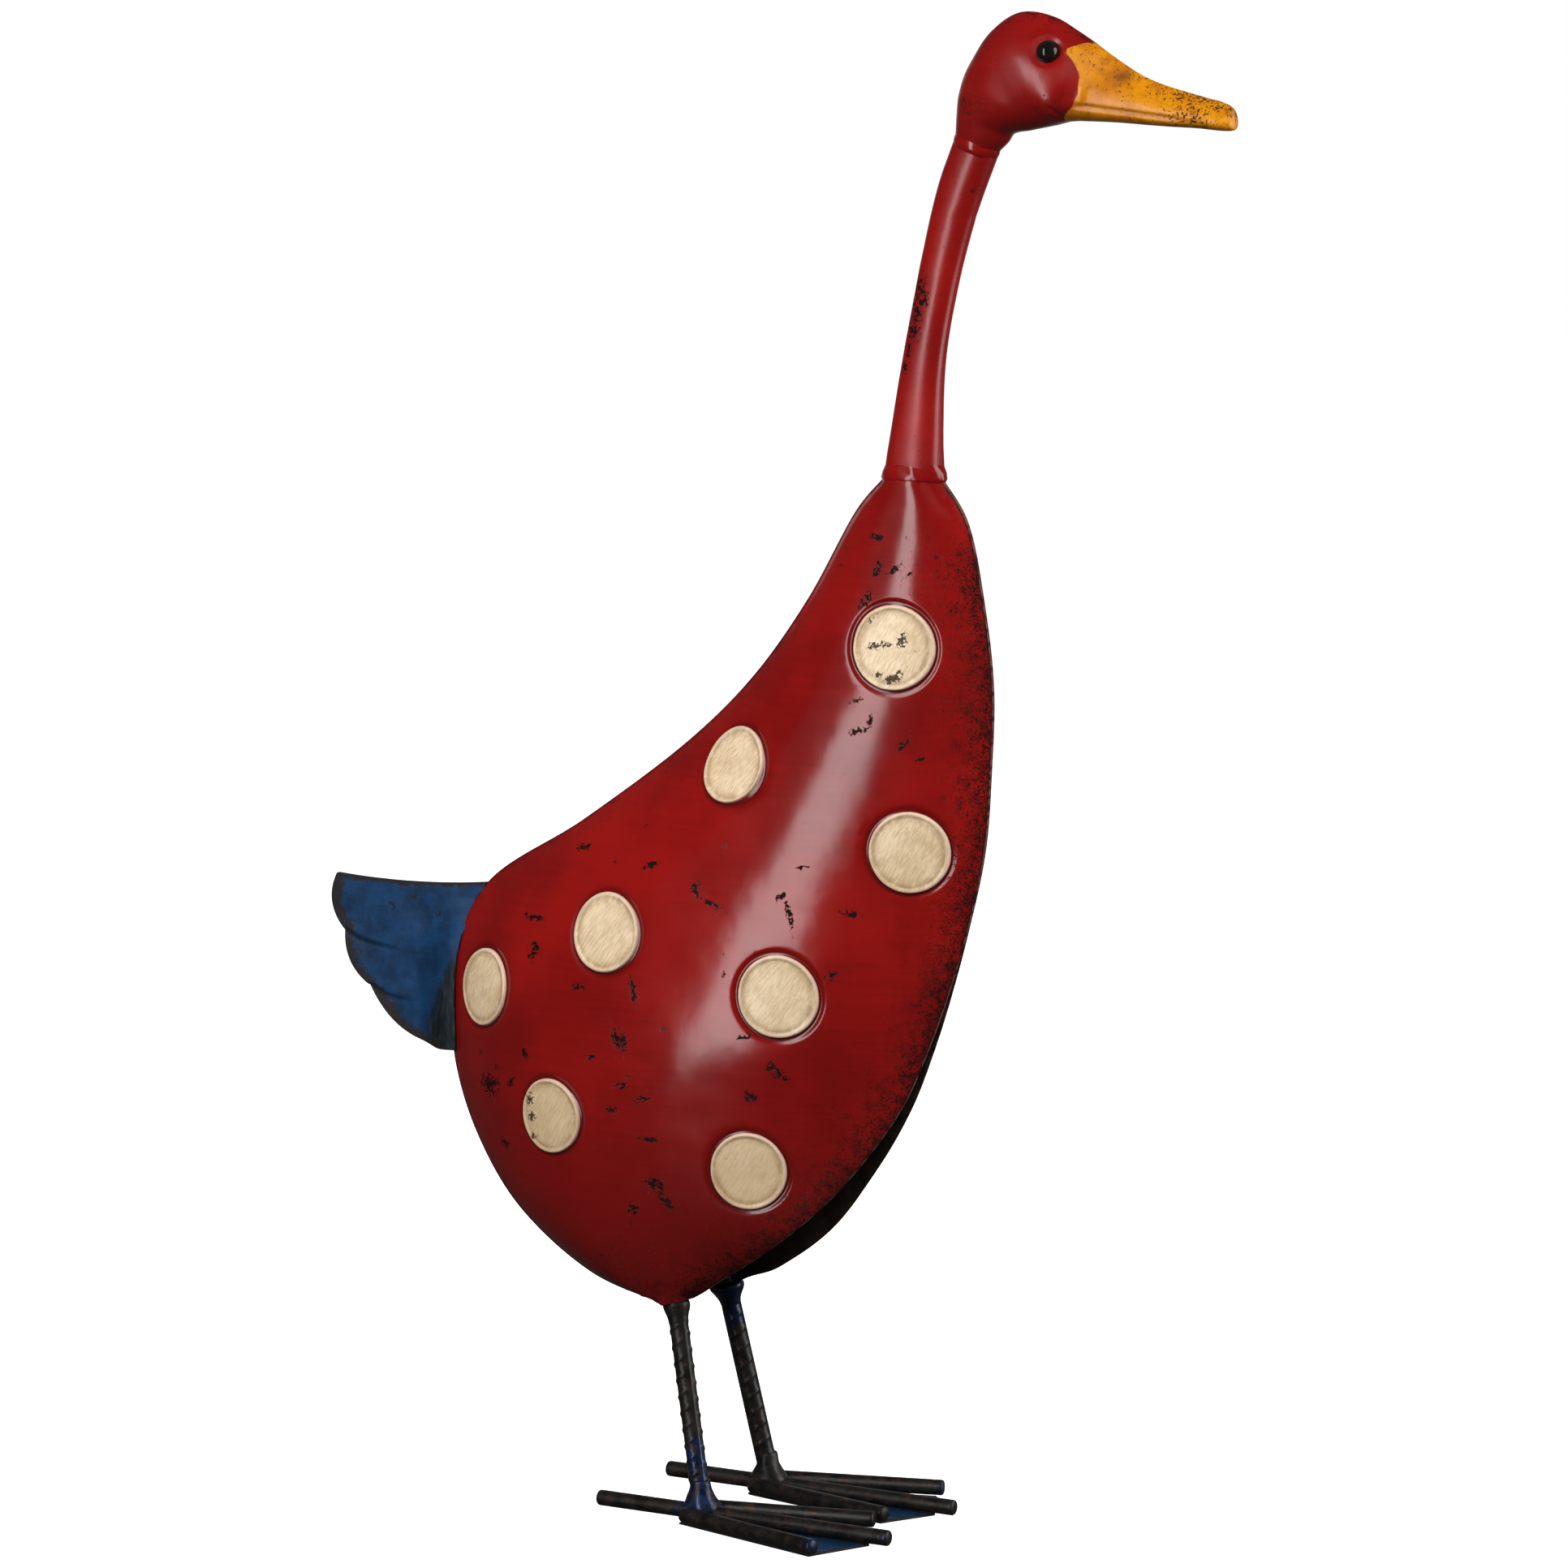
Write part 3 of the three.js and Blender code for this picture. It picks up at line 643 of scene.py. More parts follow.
def dark_inside():
    look = Look("dark_inside")
    cloud = look.noise(18, 4.0, 0.65)
    look.paint(look.ramp(cloud, 0.35, 0.65), srgb(44, 38, 32), srgb(78, 64, 52))
    look.relief(look.noise(3, 3.0), 0.08)
    return look.finish(cloud * 0.3 + 0.4)


def eye_glass():
    look = Look("eye_glass")
    cloud = look.noise(3, 3.0)
    look.paint(look.ramp(cloud, 0.3, 0.7), srgb(8, 8, 9), srgb(24, 21, 20))
    look.relief(cloud, 0.03)
    return look.finish(cloud * 0.16 + 0.02, IOR=GLOSS)


RED, CREAM, YELLOW, BLUE = red_paint(), cream_paint(), yellow_paint(), blue_paint()
IRON, INSIDE, GLASS = dark_iron(), dark_inside(), eye_glass()

# ---- Body ----

# The body's rims from the neck to the leg, from the low corner of its box. Points of one number are the
# two ends of one rib.
BACK_RIM = [
    (249, 417), (235, 402), (207, 356), (177, 317), (142, 284), (78, 238), (21, 202),
    (2, 170), (0, 140), (4, 108), (20.5, 76), (51, 42), (95, 12), (137, 0),
]
BREAST_RIM = [
    (281, 417), (294, 398), (304, 356), (309, 316), (308, 276), (305, 238), (296.5, 200),
    (285, 162), (275.5, 136), (263, 108), (240, 74), (210, 41), (179, 18), (155, 5),
]
RIM_STANDOFF = [0, 0, 0, 0, 0, 0, 0, 1.5, 3, 5.5, 13, 22, 23.4, 24]
CREST_OFF = [11, 15.5, 22.5, 31, 38, 43, 43, 39.4, 32.3]  # how far the dome's crest stands off the seam
CREST_AT = [0.46, 0.4, 0.4, 0.43, 0.44, 0.4, 0.37, 0.34, 0.3]  # where it lies, from back to breast
POWER_BACK, POWER_BREAST = 1.85, 2.1  # how square the dome is on each side of its crest
FLATTER_TOP = 0.8  # added to them near the neck
# Spots: share of the way from back to breast and from neck to leg, and size against the usual one.
SPOTS = [
    (0.618, 0.192, 1.02), (0.261, 0.321, 0.96), (0.855, 0.388, 0.99), (0.36, 0.492, 0.98),
    (0.11, 0.585, 0.96), (0.727, 0.543, 1.01), (0.299, 0.726, 0.92), (0.776, 0.77, 0.95),
]
# Where paint has chipped off: forward and up from the low corner of the box, half length, half width, and
# slope in degrees.
BODY_CHIPS = [
    (253, 389, 4, 1.8, -8), (263, 374, 3.4, 1.3, 30), (254, 373, 1.6, 3.6, -20), (248, 358, 2, 5, -28),
    (271, 372, 2, 1, 60), (246, 310, 3, 1, 20), (253, 300, 1.2, 2.8, -10), (247, 295, 4, 1.2, 15),
    (269, 289, 3.4, 1.2, 50), (277, 282, 3, 0.8, 30), (243, 205, 4.4, 1.5, -10), (220, 227, 2.8, 1, 10),
    (209, 212, 2.8, 1.3, 35), (213, 203, 1.1, 6, 12), (233, 174, 2.6, 1.8, 30), (164, 213, 3, 3.2, 40),
    (173, 206, 6, 1.4, -25), (180, 172, 1.3, 1.3, 0), (191, 142, 3.6, 1.2, 20), (206, 125, 6.5, 2.4, -32),
    (193, 112, 2.8, 2.4, 0), (86, 226, 4.6, 1.6, 10), (136, 223, 5, 1.6, 25), (64, 190, 6, 1.5, -5),
    (66, 174, 3.4, 3.6, 0), (99, 160, 4, 1.8, 10), (131, 160, 2, 6, 22), (124, 136, 3.2, 5.4, 25),
    (108, 126, 2, 1.6, 0), (65, 123, 3.8, 1.4, -45), (38, 103, 5.6, 5, 0), (55, 107, 3.6, 1.6, 45),
    (126, 113, 3.8, 1.4, 5), (137, 107, 4, 1.8, 20), (120, 100, 2.8, 1.5, 15), (140, 87, 4.6, 1.3, -5),
    (143, 64, 4.2, 2.8, -20), (148, 57, 4.4, 1.8, -45), (130, 51, 2.6, 2.6, 0), (48, 75, 3.4, 2, -30),
]
NECK_CHIPS = [
    (273, 507, 3, 7, 10), (270, 497, 2.6, 6, 14), (268, 488, 2.4, 4, 12), (266, 479, 1.6, 3, 12),
    (264, 470, 1.4, 2.6, 12),
]
SPOT_CHIPS = [
    (257, 337, 5.2, 1.5, 8), (268, 340, 2.4, 3, 20), (265, 322, 4, 1.8, 28), (252, 349, 3, 1.2, 42),
    (257, 323, 1.4, 1.2, 0), (70, 101, 2.6, 2.6, 0), (71, 92, 2.4, 2, 0), (73, 82, 2, 1.6, 30),
]
MOAT_MIDDLE, MOAT_HALF, MOAT_DEPTH = 21.4, 2.9, 0.8  # the groove pressed round each spot
MOAT_RINGS = [18.4, 19.4, 20.2, 20.9, 21.6, 22.3, 23, 23.7, 24.4]
SPOT_SIDES = 80
# The spot's section: radius, and how far it stands off the dome.
SPOT_PROFILE = [
    *((radius, 0.75) for radius in range(1, 16)),
    (16.4, 0.74), (17.2, 0.6), (17.9, 0.58), (18.4, 0.82),
    (18.9, 1.02), (19.4, 1.06), (19.8, 0.98), (20.1, 0.72), (20.3, 0.3),
    (20.4, -0.2), (20.4, -1.1), (15, -1.1),
]
EVEN_WITHIN = 12  # the radius from which a spot is a little uneven across

HALF_DROP = 2.6  # how far the halves' lower tips are out of line, each way
RIM_TURN = 3.2  # how wide a strip along the rims turns in to meet the other half
RIM_STEP, SKIN_STEP, CHIP_STEP, BACK_STEP = 2.4, 2.5, 0.9, 7  # how far apart the points of a sheet are
FAINT = 0.04  # how chipped a place is at the edge of the closer points
body_low, _ = corners("body_shell_right")
back_rim = smooth_line(np.array(BACK_RIM) + body_low[[0, 2]])
breast_rim = smooth_line(np.array(BREAST_RIM) + body_low[[0, 2]])


def body_point(across, down):
    """Points on the outside of the right body pressing, without its spots."""
    back, breast = on_line(back_rim, down), on_line(breast_rim, down)
    crest = along(CREST_AT, down)
    on_back = across < crest
    from_crest = np.where(on_back, (crest - across) / crest, (across - crest) / (1 - crest))
    standoff = np.maximum(0, along(RIM_STANDOFF, down))
    power = np.where(on_back, POWER_BACK, POWER_BREAST) + FLATTER_TOP * smoothstep(down, 0.25, 0.03)
    fall = from_crest**power
    plan = back + (breast - back) * across[:, None]
    off = SEAM / 2 + SHEET + standoff + (along(CREST_OFF, down) - standoff) * (1 - fall)
    return np.column_stack([plan[:, 0], -off, plan[:, 1]])


def body_shares(flat):
    """Where points in side view lie on the body: shares from back to breast and from neck to leg."""
    above, below = np.zeros(len(flat)), np.ones(len(flat))
    for _ in range(26):
        middle = (above + below) / 2
        back, breast = on_line(back_rim, middle), on_line(breast_rim, middle)
        lower = np.cross(breast - back, flat - back) < 0
        above, below = np.where(lower, middle, above), np.where(lower, below, middle)
    back, breast = on_line(back_rim, above), on_line(breast_rim, above)
    across = (flat[:, 0] - back[:, 0]) / (breast[:, 0] - back[:, 0])
    return np.clip(across, 0, 1), above


def on_body(flat):
    """The outside of the right body pressing at points in side view."""
    points = body_point(*body_shares(flat))
    points[:, [0, 2]] = flat
    return points


class Spot:
    """The frame of one embossed spot: its centre on the dome, and its level, uphill and outward ways."""

    def __init__(self, across, down, size):
        self.size = size
        self.centre = body_point(np.array([across]), np.array([down]))[0]
        flat, step = self.centre[[0, 2]], np.eye(2)
        span = [on_body((flat + sign * way)[None])[0] for way in step for sign in (-1, 1)]
        normal = np.cross(span[1] - span[0], span[3] - span[2])
        self.normal = unit(normal) * (-1 if normal[1] > 0 else 1)
        self.level = unit(np.cross(self.normal, [0, 0, 1]))
        self.uphill = np.cross(self.level, self.normal)

    def ring(self, radius):
        """Points of a ring round the spot, in side view."""
        angle = np.linspace(0, 2 * math.pi, SPOT_SIDES, endpoint=False)
        ways = np.outer(np.cos(angle), self.level) + np.outer(np.sin(angle), self.uphill)
        return (self.centre + radius * self.size * ways)[:, [0, 2]]

    def radius_of(self, points):
        """How far points are from the spot's middle, as if it had the usual size."""
        return length_of(off_axis(points, self.centre, self.normal)) / self.size


spots = [Spot(*shares) for shares in SPOTS]


def spot_radius(points):
    """How far each point is from the middle of the nearest spot."""
    return np.min([spot.radius_of(points) for spot in spots], axis=0)


def moat_depth(radius):
    """How far the groove round a spot falls below the dome at each radius."""
    return MOAT_DEPTH * (0.5 + 0.5 * np.cos(math.pi * np.clip((radius - MOAT_MIDDLE) / MOAT_HALF, -1, 1)))


def pressed(points):
    """The dome with the groove round each spot, and the slight waves of hand-worked sheet."""
    for spot in spots:
        points = points - np.outer(moat_depth(spot.radius_of(points)), spot.normal)
    points[:, 1] += 0.22 * lumps(points, 38) + 0.05 * lumps(points, 12, 7)
    return points


def chipped(flat, chips):
    """How chipped the paint is at points in side view: 1 in the middle of a chip, falling to 0."""
    most = np.zeros(len(flat))
    for forward, up, length, width, slope in chips:
        away = flat - body_low[[0, 2]] - (forward, up)
        way = np.array([math.cos(math.radians(slope)), math.sin(math.radians(slope))])
        over, off = away @ way / length, away @ (-way[1], way[0]) / width
        most = np.maximum(most, np.exp(-0.45 * (over**2 + off**2)))
    return most


def body_shell():
    top = np.vstack([breast_rim[0], back_rim[0]])
    foot = np.vstack([back_rim[-1], breast_rim[-1]])
    sides = [evenly(side, RIM_STEP)[:-1] for side in (top, back_rim, foot, breast_rim[::-1])]
    outline = np.vstack(sides)
    rings = np.vstack([spot.ring(radius) for spot in spots for radius in MOAT_RINGS])
    fine = hex_lattice(outline, CHIP_STEP)
    fine = fine[(chipped(fine, BODY_CHIPS) > FAINT) & inside(outline, fine)]
    fine = fine[(distance_to(fine, outline) > 2) & (spot_radius(on_body(fine)) > MOAT_RINGS[-1] + 1)]

    def place(flat):
        points = pressed(on_body(flat)) + (0, SHEET / 2, 0)
        _, down = body_shares(flat)
        closed = -(HAIRLINE + SHEET) / 2 - np.maximum(0, along(RIM_STANDOFF, down))
        share = smoothstep(distance_to(flat, np.vstack([back_rim, breast_rim])), RIM_TURN, SHEET / 2)
        points[:, 1] += (closed - points[:, 1]) * share
        return points

    def clear(flat):
        radius = spot_radius(on_body(flat))
        beyond = (radius > MOAT_RINGS[-1] + 1.4) | (radius < MOAT_RINGS[0] - 1.4)
        return beyond & (chipped(flat, BODY_CHIPS) < FAINT)

    extra = np.vstack([rings, fine])
    shape = sheet_over(outline, SKIN_STEP, BACK_STEP, place, (0, -1, 0), extra, clear)
    flat = shape["points"][:, [0, 2]]
    height = shape["points"][:, 2] - body_low[2]
    from_back, from_breast = distance_to(flat, back_rim), distance_to(flat, breast_rim)
    shape["values"] = {
        "rim": near(np.minimum(from_back, from_breast), 3),
        # where the pale line along the breast rim is drawn: worn metal with a painted highlight
        "edge": near(from_breast, 3),
        "wear": strongest(
            np.exp(-from_breast / 17) * smoothstep(height, 408, 372),
            0.62 * np.exp(-from_back / 6) * smoothstep(height, 405, 330),
            0.55 * smoothstep(height, 60, 0),
            0.3 * smoothstep(height, 130, 30) * smoothstep(from_back, 60, 0),
        ),
        # where painted shade darkens the groove round each spot
        "moat_shade": bump(spot_radius(shape["points"]), MOAT_MIDDLE - 0.4, 2.0),
        "shade": smoothstep(height, 170, 0),
        "chip": chipped(flat, BODY_CHIPS),
    }
    return shape


def dropped(shape, drop):
    """The shape with its lower front moved down a little, since the two halves do not quite line up."""
    points = np.array(shape["points"])
    from_breast = distance_to(points[:, [0, 2]], breast_rim[-90:])
    forward, height = points[:, 0] - body_low[0], points[:, 2] - body_low[2]
    share = smoothstep(from_breast, 60, 0) * smoothstep(height, 70, 25) * smoothstep(forward, 156, 176)
    points[:, 2] -= drop * share
    return {**shape, "points": points}


def embossed_spots():
    """All the cream tables of the right side, as one piece of closed solids."""
    points, faces = [], []
    for seed, spot in enumerate(spots):
        rings = []
        for radius, off in SPOT_PROFILE:
            loop = pressed(on_body(spot.ring(radius))) + (off + moat_depth(radius)) * spot.normal
            uneven = 0.008 * lumps(loop, 9, seed) * (radius > EVEN_WITHIN)
            rings.append(swollen(loop, 1 + uneven))
        solid = capped_rings(rings)
        faces += [tuple(len(points) + i for i in face) for face in solid["faces"]]
        points += list(solid["points"])
    points = np.array(points)
    radius = spot_radius(points)
    values = {
        # where a painted highlight lightens the lip of each table
        "lip_highlight": smoothstep(radius, 19.0, 19.7),
        # the thin groove inside the table carries antiquing, and the broad ring towards the rim carries
        # painted shade
        "groove": np.maximum(bump(radius, 17.5, 1.6), 0.4 * smoothstep(radius, 13, 17)),
        "chip": chipped(points[:, [0, 2]], SPOT_CHIPS),
        "shade": smoothstep(points[:, 2] - body_low[2], 200, 50),
    }
    return {"points": points, "faces": faces, "values": values}


shell = body_shell()
for side, drop in (("right", -HALF_DROP), ("left", HALF_DROP)):
    new_piece(f"body_shell_{side}", dropped(shell, drop), (RED, INSIDE), side)
new_pair("spots", embossed_spots(), (CREAM,), stands_for=False)

# ---- Neck, head and bill ----

# Neck sections, from the low corner of its box: centre forward and up, tilt from level in degrees, half
# length fore and aft, and half width.
NECK_SECTIONS = [
    (15.2, -4, 0, 14.5, 11.4), (15.6, 5, 1, 14, 10.9), (16.3, 14.9, 4, 13.2, 10),
    (19.7, 48.9, 8, 10.9, 8.4), (23.6, 71.9, 10, 10.2, 8), (31.3, 106.4, 15, 10.4, 8.2),
    (39.2, 133.9, 20, 11.2, 8.7),
    (48.3, 156.7, 22, 11.4, 9.2), (50.6, 162.5, 22, 11.4, 9.2),
]
# Head and bill sections, from the low corner of the head's box: the back or top rim point, the front or
# lower rim point, and the half width between.
HEAD_SECTIONS = [
    (0, 8.9, 21.6, 0, 10), (0.4, 14.5, 26.4, 4.4, 11.6), (1, 20.5, 28.9, 8, 13.1),
    (2, 27, 32.6, 9.4, 14.6), (5.1, 36.4, 38.3, 10.2, 16.5), (9.8, 44.9, 43, 11.1, 17.8),
    (17.6, 56.1, 46.9, 11.8, 18.4), (28.9, 64.6, 50.4, 12.5, 18.8), (39.7, 66.5, 53.4, 13.1, 18.9),
    (53, 63.5, 55.5, 13.7, 18.6), (64.2, 57.5, 57.7, 14.2, 17.4), (74.1, 51.5, 60, 14.7, 14.2),
    (82.7, 45.8, 68.4, 15.1, 11.6),
    (96.8, 37.5, 85.5, 14.8, 10), (109.9, 32.4, 103.3, 13.7, 9.2), (129.3, 27.3, 126.5, 12.5, 8.5),
    (140, 24.7, 139.6, 11.4, 7.6), (145, 22.2, 145, 11.6, 5.4), (146.2, 19.6, 146.3, 13, 2),
    (146.35, 17.4, 146.4, 15.2, 0.12),
]
LAST_SECTION = len(HEAD_SECTIONS) - 1
# Where the red ends and the yellow begins: share of the way from the top rim to the lower one, and section.
PAINT_LINE = [
    (0, 11.02), (0.1, 10.78), (0.2, 10.4), (0.29, 10.02), (0.325, 10.0), (0.355, 10.6), (0.43, 11.24),
    (0.57, 11.62), (0.69, 11.6), (0.84, 11.1), (1, 10.94),
]
# Lines and places on the side of the face, forward and up from the low corner of the head's box.
GROOVE_LINE = [(66.7, 22.6), (71, 22.5), (87.8, 20.7), (104.4, 18.9), (118.7, 17.1), (131, 15.6)]
FACE_RIDGE = [(72.3, 34.8), (71.6, 28), (70.6, 24)]
CHEEK_FOLD = [(57.6, 21), (59.4, 18.6), (62, 17.2)]
BILL_KNOB = (131.8, 19.2)  # the low swelling near the bill's tip
BILL_WORN = (137, 25)  # the middle of the worn place on top of it
NOSTRIL = (89.7, -10.5, 36.5)  # forward, across and up
GROOVE_IN, GROOVE_OUT = (66, 70), (134, 112)  # where the groove along the bill fades in, and out
BROW_RADIUS, SOCKET_RADIUS, SOCKET_FLOOR = 9.3, 8.5, 5  # from the middle of the eye
CHEEK_SAG, BILL_SAG = 0.45, 0.5  # how far the widest part of the face moves down
NECK_KINK = 124  # how high the dent in the front of the neck lies in its box
BASE_TOP, BASE_FOOT = 0.12, 0.009  # shares of the neck and of the body that the weld between them covers
HEAD_SLOPE = math.radians(22)  # of the head's lower edge, from level
COLLAR_BORE = 0.9  # the inside of the neck's welds against their outside

neck_low, _ = corners("neck_shell_right")
head_low, _ = corners("head_shell_right")
nostril = NOSTRIL + head_low * (1, 0, 1)
eye_low, eye_high = corners("eye_right")
eye_centre, eye_radius = middle_of("eye_right"), (eye_high[0] - eye_low[0]) / 2
EYE_AXIS = unit(np.array([0.22, -0.93, 0.29]))


def half_ovals(sections, turn, inset, sag=1.0, square=1.0):
    """Points on half ovals from the back rim round the right side to the front rim. turn is 0 to 1.

    A sag over 1 moves the widest part towards the front rim, and a square under 1 flattens the side.
    """
    back, front, width = sections[..., 0:2], sections[..., 2:4], sections[..., 4]
    half = length_of(front - back) / 2
    forward = -np.cos(math.pi * turn) * (1 - np.minimum(inset / half, 0.5))
    plan = (back + front) / 2 + (front - back) / 2 * forward[..., None]
    off = (width - np.minimum(inset, width / 2)) * np.maximum(np.sin(math.pi * turn**sag), 0) ** square
    return np.stack([plan[..., 0], -off, plan[..., 1]], -1)


def outward_of(skin):
    """The unit vectors square to a grid of points, on the right side's outside."""
    normal = np.cross(np.gradient(skin, axis=0), np.gradient(skin, axis=1))
    normal /= np.maximum(length_of(normal), 1e-9)[..., None]
    middle = normal[len(normal) // 2, normal.shape[1] // 2]
    return normal if middle[1] < 0 else -normal


def neck_sections(t):
    """The rim points and half width of the neck at the shares t of the way up."""
    rims = []
    for forward, up, tilt, length, width in NECK_SECTIONS:
        x, z = neck_low[0] + forward, neck_low[2] + up
        over, down = length * math.cos(math.radians(tilt)), length * math.sin(math.radians(tilt))
        rims.append([x - over, z + down, x + over, z - down, width])
    return on_line(smooth_line(rims), t)


def neck_square(t):
    """The power that flattens the neck's sides, by the share of the way up."""
    return 0.66 + 0.14 * smoothstep(t, 0.05, 0.5)


def neck_shell():
    t, turn = share_grid(110, 32)
    sections = neck_sections(t)
    outer, inner = (half_ovals(sections, turn, inset, square=neck_square(t)) for inset in (0, SHEET))
    kink = bump(outer[..., 2], neck_low[2] + NECK_KINK, 3) * smoothstep(turn, 0.5, 0.8)
    height = 0.25 * lumps(outer, 18, 3) + 0.08 * lumps(outer, 6, 5) - 0.5 * kink
    outer += height[..., None] * outward_of(outer) * np.sin(math.pi * turn)[..., None]
    shape = sheet_between(outer, inner)
    back_wear = 0.35 * bump(t, 0.34, 0.12) * smoothstep(turn, 0.5, 0.1)
    shape["values"] = {
        "wear": 0.12 + back_wear + 0.3 * smoothstep(turn, 0.2, 0),
        "chip": chipped(shape["points"][:, [0, 2]], NECK_CHIPS),
        "soft": 0.8 + 0.6 * smoothstep(t, 0.5, 0.2),
    }
    return shape


def face_relief(skin):
    """How far each point of the head and bill stands off its smooth shape."""
    flat = skin[..., [0, 2]] - head_low[[0, 2]]
    from_eye = off_axis(skin, eye_centre, EYE_AXIS)
    radius = length_of(from_eye)
    brow = smoothstep(from_eye[..., 2] + 0.35 * from_eye[..., 0], -2, 4)
    lines = (GROOVE_LINE, FACE_RIDGE, CHEEK_FOLD)
    groove, ridge, fold = (distance_to(flat, fine_line(line)) for line in lines)
    groove_line = fine_line(GROOVE_LINE)
    below = flat[..., 1] - np.interp(flat[..., 0], groove_line[:, 0], groove_line[:, 1])
    fade = smoothstep(flat[..., 0], *GROOVE_IN) * smoothstep(flat[..., 0], *GROOVE_OUT)
    return (
        0.8 * bump(radius, BROW_RADIUS, 2.2) * brow
        - 0.9 * smoothstep(radius, SOCKET_RADIUS, SOCKET_FLOOR)
        - 0.75 * bump(groove, 0, 1.1) * fade
        + 0.55 * smoothstep(below, -0.6, -2.2) * fade
        + 0.5 * bump(ridge, 0, 1.5)
        - 0.8 * bump(fold, 0, 1)
        - 1.1 * bump(length_of((skin - nostril) * (0.75, 0.5, 1)), 0, 2)
        + 0.7 * bump(length_of(flat - BILL_KNOB), 0, 3.2)
        + 0.14 * lumps(skin, 13, 11)
        + 0.04 * lumps(skin, 4, 13)
    )


def face_shell(section_at, rows, columns):
    """A closed pressed half of the head or the bill. section_at gives the section at each share and turn.

    The grids of turns, sections and outer points come with it.
    """
    t, turn = share_grid(rows, columns)
    place = section_at(t, turn)
    sections = along(HEAD_SECTIONS, place / LAST_SECTION)
    sections[..., :4] += np.tile(head_low[[0, 2]], 2)
    cheek = CHEEK_SAG * bump(place, 9.5, 2.5)
    bill = BILL_SAG * smoothstep(place, 10, 13) * smoothstep(place, LAST_SECTION, LAST_SECTION - 3)
    outer, inner = (half_ovals(sections, turn, inset, 1 + cheek + bill) for inset in (0, SHEET))
    inner[..., 0] -= SHEET * np.clip(place - LAST_SECTION + 1, 0, 1)
    relief = face_relief(outer) * np.sin(math.pi * turn) ** 0.5
    outer = outer + relief[..., None] * outward_of(outer)
    outer[..., 1] = np.minimum(outer[..., 1], 0)
    for skin in (outer, inner):
        skin[..., 1] -= HAIRLINE / 2
    return sheet_between(outer, inner), turn, place, outer


def paint_line(turn):
    """The section at which the red ends, round the face. It wavers a little, as a line painted by hand."""
    shares, sections = zip(*PAINT_LINE)
    return np.interp(turn, shares, sections) + 0.015 * np.sin(37 * turn) * np.sin(math.pi * turn)


def head_shell():
    shape, turn, place, outer = face_shell(lambda t, turn: t * paint_line(turn), 110, 76)
    height = outer[..., 2] - head_low[2]
    shape["values"] = {
        "wear": strongest(
            0.72 * (smoothstep(turn, 0.34, 0.02) * smoothstep(place, 1, 3)),
            0.6 * (bump(turn, 0.3, 0.3) * bump(place, 2.8, 1.6)),
            0.3 * bump(turn, 0.7, 0.2) * smoothstep(place, 4, 7),
            0.5 * smoothstep(turn, 0.9, 1),
        ),
        "shade": 0.25 * smoothstep(height, 26, 6),
        "soft": 0.7,
    }
    return shape


def bill_shell():
    def section_at(t, turn):
        start = paint_line(turn)
        return start + t * (LAST_SECTION - start)

    shape, turn, _, outer = face_shell(section_at, 130, 56)
    flat = outer[..., [0, 2]] - head_low[[0, 2]]
    forward = flat[..., 0]
    shape["values"] = {
        "wear": strongest(
            smoothstep(turn, 0.62, 0.2) * (0.34 + 0.42 * smoothstep(forward, 96, 130)),
            bump(length_of((flat - BILL_WORN) * (0.6, 1)), 0, 3.6),
            0.62 * smoothstep(forward, 98, 122) * smoothstep(forward, 142, 134),
            0.16,
        ),
        # where painted shade darkens the groove along the bill
        "groove": bump(distance_to(flat, fine_line(GROOVE_LINE)), 0, 1.3) * smoothstep(forward, *GROOVE_OUT),
        # where a painted highlight brightens the lower half of the bill's tip
        "tip_highlight": smoothstep(forward, 138, 144) * smoothstep(turn, 0.4, 0.6),
        "stain": bump(length_of((outer - nostril) * (0.6, 0.2, 1)), 0, 3),
        "rim": smoothstep(turn, 0.965, 1) * (0.55 + 0.6 * bump(forward, 131, 9)),
    }
    return shape


def eye_bead():
    """A closed ball, as rings from one end of its axis to the other."""
    slopes = np.linspace(-math.pi / 2, math.pi / 2, 32)[1:-1]
    return capped_rings([
        ring(eye_centre + eye_radius * math.sin(s) * EYE_AXIS, EYE_AXIS, eye_radius * math.cos(s), 48)
        for s in slopes
    ])


def eye_rim(skin):
    """The thin metal ring where the eye meets the head's skin."""
    depth = (skin - eye_centre) @ EYE_AXIS
    radius = length_of(off_axis(skin, eye_centre, EYE_AXIS))
    at_eye = depth[(radius > eye_radius - 0.6) & (radius < eye_radius + 0.9) & (depth > -2)]
    centre = eye_centre + (at_eye.mean() + 0.1) * EYE_AXIS
    turns = np.linspace(0, 2 * math.pi, 12, endpoint=False)
    return looped_rings([
        ring(centre + 0.35 * math.sin(a) * EYE_AXIS, EYE_AXIS, eye_radius + 0.15 + 0.35 * math.cos(a), 48)
        for a in turns
    ])


def collar(rows, seed, roughness):
    """A lumpy closed ring through half rings of points, mirrored for the left side."""
    loops = np.array([np.vstack([row, row[-2:0:-1] * (1, -1, 1)]) for row in rows])
    middle = loops.mean(1, keepdims=True)
    uneven = lumps(loops, 4.5, seed) + 0.6 * lumps(loops, 2.2, seed + 1)
    outer = middle + (loops - middle) * (1 + roughness * uneven[..., None] * (1, 1, 0))
    inner = middle + (loops - middle) * COLLAR_BORE
    return looped_rings(np.vstack([outer, inner[::-1]]))


